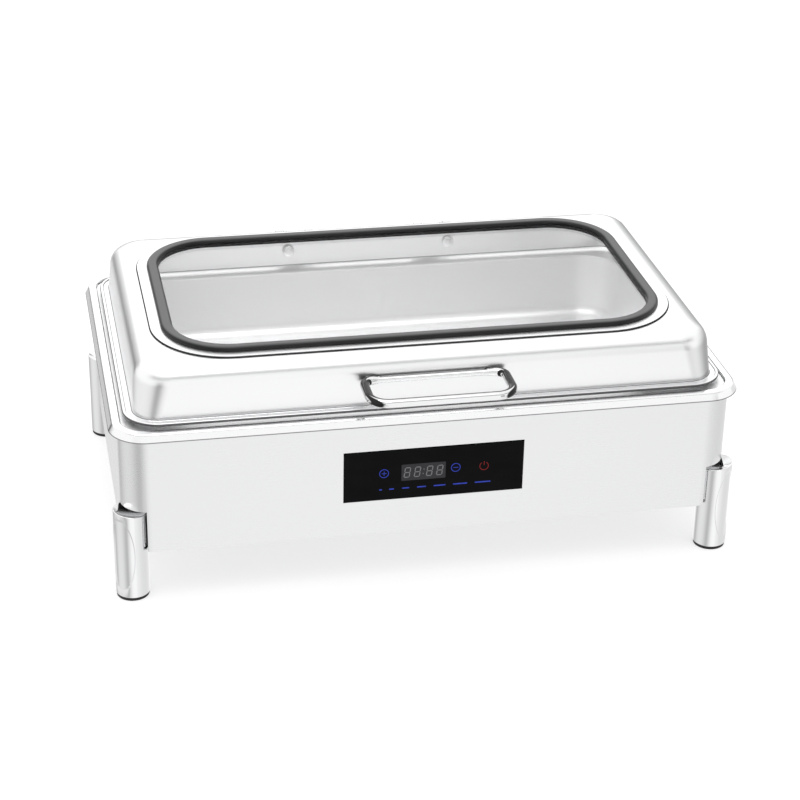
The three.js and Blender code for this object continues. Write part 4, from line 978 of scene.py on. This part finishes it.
class Rod:
    """A round rod that grows by straight runs and bends."""

    def __init__(self, radius, start):
        self.bm = bmesh.new()
        turn = Matrix.Translation(start) @ Matrix.Rotation(math.pi / 2, 4, "Y")
        verts = bmesh.ops.create_circle(self.bm, segments=28, radius=radius,
                                        matrix=turn)["verts"]
        self.edges = list({e for v in verts for e in v.link_edges})
        self.at = Vector(start)

    def _end(self):
        return list({v for e in self.edges for v in e.verts})

    def run(self, move, grow=1.0):
        grown = bmesh.ops.extrude_edge_only(self.bm, edges=self.edges)["geom"]
        self.edges = [g for g in grown if isinstance(g, bmesh.types.BMEdge)
                      and len(g.link_faces) == 1]
        self.at += Vector(move)
        bmesh.ops.translate(self.bm, vec=move, verts=self._end())
        if grow != 1.0:
            bmesh.ops.scale(self.bm, vec=(grow,) * 3, verts=self._end(),
                            space=Matrix.Translation(-self.at))

    def bend(self, centre, angle=-math.pi / 2):
        swept = bmesh.ops.spin(self.bm, geom=self._end() + self.edges, cent=centre,
                               axis=(0, 0, 1), angle=angle, steps=BEND_STEPS,
                               use_merge=False)
        self.edges = [g for g in swept["geom_last"] if isinstance(g, bmesh.types.BMEdge)]
        turn = Matrix.Rotation(angle, 3, "Z")
        self.at = Vector(centre) + turn @ (self.at - Vector(centre))

    def close(self):
        bmesh.ops.remove_doubles(self.bm, verts=self.bm.verts, dist=1e-3)
        bmesh.ops.recalc_face_normals(self.bm, faces=self.bm.faces)
        return from_bmesh(self.bm, "rod")


def make_handle():
    z = handle.middle.z
    half_x = handle.half.x - ROD_RADIUS
    front = handle.low.y + ROD_RADIUS
    screw = Place("handle_screw_left")
    back = front + HANDLE_REACH
    grow = ROD_RADIUS / BACK_RADIUS
    swell = half_x - BACK_BEND
    shape = Rod(BACK_RADIUS, (0, back, z))
    shape.run((swell - TAPER, 0, 0))
    shape.run((TAPER, 0, 0), grow)
    shape.bend((swell, back - BACK_BEND, z))
    side = back - BACK_BEND - front - FRONT_BEND
    shape.run((0, -side, 0))
    shape.bend((half_x - FRONT_BEND, front + FRONT_BEND, z))
    shape.run((-2 * (half_x - FRONT_BEND), 0, 0))
    shape.bend((-(half_x - FRONT_BEND), front + FRONT_BEND, z))
    shape.run((0, side, 0))
    shape.bend((-swell, back - BACK_BEND, z))
    shape.run((TAPER, 0, 0), 1 / grow)
    shape.run((swell - TAPER, 0, 0))
    loop = shape.close()
    wall = screw.high.y - 4.3
    for side_x in (-1, 1):
        boss = rod(BOSS_RADIUS, back, wall, (side_x * screw.middle.x, 0, z), "Y", 0.3)
        combine(loop, ("UNION", boss))
    finished(loop, "handle_loop", "lid", HANDLE_CHROME, ["lid_handle"])


def screw_shape(length, head=4.4, rise=2.6):
    """Pan-head screw along Z, head up, resting at 0, with a cross recess."""
    shape = turned([(0, -length, 0), (2.2, -length, 0.5), (2.2, 0, 0), (head, 0, 0.2),
                    (head, rise, rise * 0.7), (0, rise, 0)], steps=32)
    cross = [("DIFFERENCE", block((-x, -y, rise - 1.4), (x, y, rise + 1)))
             for x, y in ((2.2, 0.45), (0.45, 2.2))]
    return combine(shape, *cross)


def place_screws():
    """Screws on the handle and the hinges, with their heads toward +Y."""
    for node in [n for n in frame["nodes"]
                 if n.startswith(("handle_screw", "hinge_screw"))]:
        spot = Place(node)
        length = spot.high.y - spot.low.y - 2.6
        shape = screw_shape(length)
        shape.data.transform(Matrix.Translation(
            Vector((spot.middle.x, spot.high.y - 2.6, spot.middle.z)) * MM)
            @ Matrix.Rotation(-math.pi / 2, 4, "X"))
        body = "lid" if node.startswith("handle") else "base"
        finished(shape, node.replace("screw", "fixing"), body, ZINC, [node])


make_handle()
place_screws()

# ---- hinges

HINGE_SHEET = 2.5
BARREL = 6
PIN = 2.5
BORE = PIN + 0.3
DAMPER = 6.8
JOGGLE = 157               # height where the bracket steps out over the rim


def bent_plate(line, low_x, high_x, sheet, folds, corner):
    """Plate bent along a line of (y, z) points, with its lower corners rounded."""
    bm = bmesh.new()
    verts = [bm.verts.new((low_x, y, z)) for y, z in line]
    edges = [bm.edges.new(pair) for pair in zip(verts, verts[1:])]
    grown = bmesh.ops.extrude_edge_only(bm, edges=edges)["geom"]
    moved = [g for g in grown if isinstance(g, bmesh.types.BMVert)]
    bmesh.ops.translate(bm, vec=(high_x - low_x, 0, 0), verts=moved)
    foot = [v for v in bm.verts if abs(v.co.z - line[0][1]) < 1e-3]
    bmesh.ops.bevel(bm, geom=foot, offset=corner, offset_type="OFFSET", segments=6,
                    profile=0.5, affect="VERTICES", material=-1)
    for y, z in line[1:-1]:
        fold(bm, [e for e in bm.edges if all(
            abs(v.co.z - z) < 1e-3 and abs(v.co.y - y) < 1e-3 for v in e.verts)],
            folds, 4)
    bmesh.ops.recalc_face_normals(bm, faces=bm.faces)
    if sum(f.normal.y * f.calc_area() for f in bm.faces) < 0:
        bmesh.ops.reverse_faces(bm, faces=bm.faces)
    shape = from_bmesh(bm, "plate")
    solid = shape.modifiers.new("sheet", "SOLIDIFY")
    solid.thickness = sheet * MM
    solid.offset = 1
    solid.use_even_offset = True
    return settle(shape)


def make_hinge(end, side):
    base = Place("hinge_base_" + end)
    leaf = Place("hinge_leaf_" + end)
    pin = Place("hinge_pin_" + end)
    damper = Place("hinge_damper_" + end)
    rivet = Place("lid_rivet_" + end)
    axis_y, axis_z = pin.middle.y, pin.middle.z
    centre_x = leaf.middle.x
    foot_face = base.low.y
    rim_face = rim.high.y + 0.6
    plate_top = damper.low.z - 0.3 + 0.02
    half = leaf.half.x

    def span(first, last):
        ends = (side * first, side * last)
        return min(ends), max(ends)

    plate = bent_plate([(foot_face, base.low.z), (foot_face, JOGGLE - 1.5),
                        (rim_face, JOGGLE + 1.5), (rim_face, plate_top)],
                       centre_x - half, centre_x + half, HINGE_SHEET, 1.5, 5)
    steps = []
    for first, last in ((-17.8, -9.8), (9.8, 12.3)):
        low, high = span(first, last)
        steps.append(("UNION", rod(BARREL, low, high, (centre_x, axis_y, axis_z), "X", 0.5)))
        steps.append(("UNION", block(
            (centre_x + low + 0.2, rim_face + 0.1, plate_top - 4),
            (centre_x + high - 0.2, rim_face + HINGE_SHEET - 0.1, axis_z))))
    steps.append(("DIFFERENCE", rod(BORE, -40, 40, (centre_x, axis_y, axis_z), "X", 0)))
    combine(plate, *steps)
    finished(plate, "hinge_bracket_" + end, "base", HINGE_STEEL, ["hinge_base_" + end], 0.25)

    wall = leaf.low.y
    lean = LID_DRAFT / 25.3
    high_z, low_z = axis_z + 5, leaf.low.z
    leaf_plate = bent_plate([(wall + lean * (high_z - low_z), low_z), (wall, high_z)],
                            centre_x - half, centre_x + half, 2, 0, 4)
    low, high = span(-9.5, 9.5)
    arm = block((centre_x + low, wall + 2, axis_z - 2.5), (centre_x + high, axis_y, axis_z + 2.5),
                0.4)
    barrel = rod(BARREL, low, high, (centre_x, axis_y, axis_z), "X", 0.5)
    combine(leaf_plate, ("UNION", arm), ("UNION", barrel),
            ("DIFFERENCE", rod(BORE, -40, 40, (centre_x, axis_y, axis_z), "X", 0)))
    finished(leaf_plate, "hinge_arm_" + end, "lid", LEAF_STEEL, ["hinge_leaf_" + end], 0.25)

    finished(rod(PIN, pin.low.x, pin.high.x, (0, axis_y, axis_z), "X", 0.6),
             "hinge_axle_" + end, "base", ZINC, ["hinge_pin_" + end])

    low, high = damper.low.x, damper.high.x
    case = rod(DAMPER, low, high, (0, axis_y, axis_z), "X", 0.8)
    foot = block((low, axis_y - DAMPER, damper.low.z), (high, axis_y + DAMPER, axis_z), 0.6)
    combine(case, ("UNION", foot),
            ("DIFFERENCE", rod(BORE, low - 3, high + 3, (0, axis_y, axis_z), "X", 0)))
    finished(case, "hinge_cap_" + end, "base", HINGE_STEEL, ["hinge_damper_" + end])

    inside, outside = rivet.low.y, rivet.high.y
    head = turned([(0, inside, 0), (2.6, inside, 0.3), (2.9, inside + 0.7, 0.2),
                   (3.6, inside + 0.7, 0.2), (6, inside + 1.3, 0.7),
                   (6, inside + 2.4, 0.2), (2, inside + 2.4, 0),
                   (2, outside - 1.4, 0), (3.6, outside - 1.4, 0.2),
                   (3.6, outside - 0.6, 0.6), (0, outside, 0)],
                  (rivet.middle.x, 0, rivet.middle.z), "Y", 40)
    finished(head, "hinge_rivet_" + end, "lid", LEAF_STEEL, ["lid_rivet_" + end])


make_hinge("left", -1)
make_hinge("right", 1)

# ---- control panel

panel_x = glass_panel.middle.x
panel_z = glass_panel.middle.z
panel_front = glass_panel.low.y
INK = 0.06

finished(face_plate(glass_panel.half.x, glass_panel.half.z, 1.6, glass_panel.low.y,
                    glass_panel.high.y, (panel_x, panel_z), 0.9),
         "panel_face", "base", PANEL_GLASS, ["control_panel_glass"])


def drawn_shape(bm, name, at, finish, proud=INK):
    """Flat shape drawn in X and Y, set on the panel and given a little body."""
    bmesh.ops.remove_doubles(bm, verts=bm.verts, dist=1e-4)
    grown = bmesh.ops.extrude_face_region(bm, geom=bm.faces[:])["geom"]
    raised = [g for g in grown if isinstance(g, bmesh.types.BMVert)]
    bmesh.ops.translate(bm, vec=(0, 0, proud), verts=raised)
    bmesh.ops.rotate(bm, matrix=Matrix.Rotation(math.pi / 2, 3, "X"), verts=bm.verts)
    bmesh.ops.translate(bm, vec=(panel_x + at[0], panel_front + 0.01, panel_z + at[1]),
                        verts=bm.verts)
    bmesh.ops.recalc_face_normals(bm, faces=bm.faces)
    finished(from_bmesh(bm, name), name, "base", finish)


def flat_bar(bm, length, thick, place, angle=0.0, pointed=False):
    """Bar in X and Y: a stretched hexagon, or a stretched round when not pointed."""
    segments = 6 if pointed else 16
    radius = thick / 2 / (math.cos(math.pi / 6) if pointed else 1)
    known = set(bm.verts)
    verts = bmesh.ops.create_circle(bm, cap_ends=True, segments=segments, radius=radius)["verts"]
    bmesh.ops.rotate(bm, matrix=Matrix.Rotation(math.pi / 2, 3, "Z"), verts=verts)
    reach = (length - 2 * radius) / 2
    for sign in (-1, 1):
        bmesh.ops.translate(bm, vec=(sign * reach, 0, 0),
                            verts=[v for v in verts if v.co.x * sign > 1e-5
                                   and v not in known])
    bmesh.ops.rotate(bm, matrix=Matrix.Rotation(angle, 3, "Z"), verts=verts)
    bmesh.ops.translate(bm, vec=(*place, 0), verts=verts)


def arc_band(bm, radius, thick, start, sweep, steps=40):
    """Band of a circle in X and Y."""
    verts = [bm.verts.new((math.cos(start) * r, math.sin(start) * r, 0))
             for r in (radius - thick / 2, radius + thick / 2)]
    edge = bm.edges.new(verts)
    bmesh.ops.spin(bm, geom=verts + [edge], cent=(0, 0, 0), axis=(0, 0, 1), angle=sweep,
                   steps=steps, use_merge=sweep > 6.2)


STROKE = 0.62
POWER_STROKE = 0.6
LEVEL_THICK = 1.25
LEVEL_Z = -14.2
LEVELS = ((-49.4, 2.7), (-39.3, 4.5), (-26.3, 6.5), (-11.5, 8.4), (5.2, 11.2),
          (24.3, 13.4), (45.4, 14.8))        # middle and length of each bar


def make_symbols():
    for name, at, upright in (("plus", (-46.4, 2.3), True), ("minus", (19.8, 2.9), False)):
        bm = bmesh.new()
        arc_band(bm, 4.1, STROKE, 0, math.tau)
        flat_bar(bm, 4.6, STROKE, (0, 0))
        if upright:
            for sign in (-1, 1):
                flat_bar(bm, 1.9, STROKE, (0, sign * 1.3), math.pi / 2)
        drawn_shape(bm, "touch_" + name, at, BLUE_LIGHT)
    bm = bmesh.new()
    gap = math.radians(32)
    arc_band(bm, 4.0, POWER_STROKE, math.pi / 2 + gap, math.tau - 2 * gap)
    flat_bar(bm, 4.0, POWER_STROKE, (0, 2.9), math.pi / 2)
    drawn_shape(bm, "touch_power", (46.2, 2.2), RED_LIGHT)
    for number, (x, length) in enumerate(LEVELS, 1):
        bm = bmesh.new()
        flat_bar(bm, length, LEVEL_THICK, (0, 0))
        drawn_shape(bm, f"heat_level_{number}", (x, LEVEL_Z), BLUE_LIGHT)


DIGIT_LEAN = math.radians(8)
SEGMENT = 4.3
SEGMENT_THICK = 0.95
DOT_LEAN = 0.14            # the dots follow the lean of the digits
DISPLAY_X = -10.0
DISPLAY_Z = 1.6


def make_display():
    bm = bmesh.new()
    edges = rounded_loop(bm, 20.4, 8.3, 0.8, 0, (0, 0), 6)
    bmesh.ops.edgeloop_fill(bm, edges=edges)
    drawn_shape(bm, "display_window", (DISPLAY_X, DISPLAY_Z), DISPLAY_FACE, proud=0.03)
    half = SEGMENT + 0.5
    for number, x in enumerate((-15, -5.6, 5.6, 15), 1):
        bm = bmesh.new()
        for z in (-half, 0, half):
            flat_bar(bm, SEGMENT, SEGMENT_THICK, (0, z), pointed=True)
        for across in (-1, 1):
            for z in (-half / 2, half / 2):
                flat_bar(bm, SEGMENT - 0.1, SEGMENT_THICK, (across * (SEGMENT / 2 + 0.25), z),
                         math.pi / 2, pointed=True)
        lean = Matrix.Identity(3)
        lean[0][1] = math.tan(DIGIT_LEAN)
        bmesh.ops.transform(bm, matrix=lean.to_4x4(), verts=bm.verts)
        drawn_shape(bm, f"display_digit_{number}", (DISPLAY_X + x, DISPLAY_Z), DIGIT_GREY)
    for number, z in enumerate((-2.2, 2.2), 1):
        bm = bmesh.new()
        flat_bar(bm, 1.1, 1.1, (0, 0))
        drawn_shape(bm, f"display_dot_{number}", (DISPLAY_X + z * DOT_LEAN, DISPLAY_Z + z),
                    DIGIT_GREY)


make_symbols()
make_display()

# ---- mains inlet

INLET_WALL = 1.6
INLET_FLANGE_SHEET = 2
INLET_FLOOR = 3
INLET_PIN = 10
INLET_PINS = ((-7, -2), (0, 3), (7, -2))


def make_inlet():
    face = inlet.high.y
    inner_x = inlet.half.x - INLET_FLANGE
    inner_z = inlet.half.z - INLET_FLANGE
    at = (inlet.middle.x, inlet.middle.z)
    flange = face_plate(inlet.half.x, inlet.half.z, 2.5, face - INLET_FLANGE_SHEET, face, at, 0)
    body = face_plate(inner_x, inner_z, 1.5, inlet.low.y, face - 0.5, at, 0.5)
    floor = inlet.low.y + INLET_FLOOR
    socket = face_plate(inner_x - INLET_WALL, inner_z - INLET_WALL, 3.2, floor, face + 2, at, 0)
    combine(flange, ("UNION", body), ("DIFFERENCE", socket))
    finished(flange, "inlet_socket", "base", PLASTIC, ["power_inlet"], edge=0.35)
    for number, (x, z) in enumerate(INLET_PINS, 1):
        pin = block((at[0] + x - 1, floor - 1, at[1] + z - 2),
                    (at[0] + x + 1, floor + INLET_PIN, at[1] + z + 2), 0.35)
        finished(pin, f"inlet_pin_{number}", "base", ZINC)


make_inlet()

# ---- carried-over pieces

CARRIED = {
    "satin_steel": SATIN, "pan_steel": PAN_STEEL, "zinc_steel": ZINC, "chrome": CHROME,
    "aluminium": ALUMINIUM, "black_rubber": FOOT_RUBBER, "black_glass": PANEL_GLASS,
    "black_plastic": PLASTIC, "board_green": BOARD, "wool": WOOL,
    "clear_glass": WINDOW_GLASS,
}
slot_of = {}
for entry in frame["record"]["materials"]:
    for node in entry.get("nodes", []):
        slot_of[node] = entry["slot"]

for name, node in frame["nodes"].items():
    if node.hide_render:
        continue
    for place, holder in enumerate(node.material_slots):
        slot = slot_of.get(name) or holder.material.name.split(".")[0]
        node.material_slots[place].material = CARRIED.get(slot, ZINC).material

# ---- studio

FLOOR_HALF = 12.0
FLOOR_GLOW = 1.25
ROOM = 1.06
DARKEST = 0.02


def make_floor():
    bm = bmesh.new()
    bmesh.ops.create_grid(bm, x_segments=1, y_segments=1, size=FLOOR_HALF)
    mesh = bpy.data.meshes.new("floor")
    bm.to_mesh(mesh)
    bm.free()
    floor = new_object(mesh, "floor")
    finish = Finish("pale floor", "floor")
    graph = finish.graph
    sheen = graph.add("ShaderNodeEmission", None, {
        "Color": (1, 1, 1, 1), "Strength": FLOOR_GLOW}).out()
    matt_white = graph.add("ShaderNodeBsdfDiffuse", None, {"Color": (0.92, 0.92, 0.92, 1)}).out()
    finish.end(graph.add("ShaderNodeMixShader", None, {
        "Fac": 0.5, "Shader": matt_white, "Shader_001": sheen}).out())
    mesh.materials.append(finish.material)
    floor.visible_glossy = False


def make_world():
    """White studio, plain to the camera, with darker bands that only the metal reflects."""
    world = bpy.data.worlds.new("studio")
    scene.world = world
    world.use_nodes = True
    graph = Graph(world.node_tree)
    x, y, z = graph.parts("Generated")
    front = (0 - y).between(0.0, 0.4)
    above = z.between(0.0, 0.03)
    edge = z.window(0.54, 0.60, 0.66, 0.76) * front
    backdrop = z.window(0.2, 0.4, 0.62, 0.75) * y.between(0.5, 0.75)
    leftward = 0 - x
    streak = leftward.window(0.02, 0.5, 0.52, 0.95)
    left = leftward.between(-0.1, 0.2) * 0.05 + leftward.between(0.3, 0.6) * 0.12 + streak * 0.36
    right = x.between(0.3, 0.42) * 0.1 + x.between(0.4, 0.95) * 0.15
    wing = x.size().window(0.32, 0.4, 0.6, 0.7) * z.window(-0.2, -0.12, 0.3, 0.42)
    light = ROOM - edge * 0.85 + backdrop * 0.3 - (left + right) * (1 - above) - wing * 0.6
    camera_ray = graph.add("ShaderNodeLightPath").value("Is Camera Ray")
    shown = light.or_larger(DARKEST) * (1 - camera_ray) + camera_ray
    background = graph.add("ShaderNodeBackground", None, {
        "Color": (1, 1, 1, 1), "Strength": shown})
    graph.add("ShaderNodeOutputWorld", None, {"Surface": background.out()})


def soft_light(name, place, target, size, power):
    data = bpy.data.lights.new(name, "AREA")
    data.shape = "RECTANGLE"
    data.size, data.size_y = size
    data.energy = power
    lamp = bpy.data.objects.new(name, data)
    scene.collection.objects.link(lamp)
    aim = (Vector(target) - Vector(place)).to_track_quat("-Z", "Y")
    lamp.matrix_world = Matrix.Translation(place) @ aim.to_matrix().to_4x4()


make_floor()
make_world()
soft_light("overhead", (-0.3, -0.4, 1.9), (0, 0, 0.15), (1.4, 1.0), 8)
scene.view_settings.view_transform = "Standard"
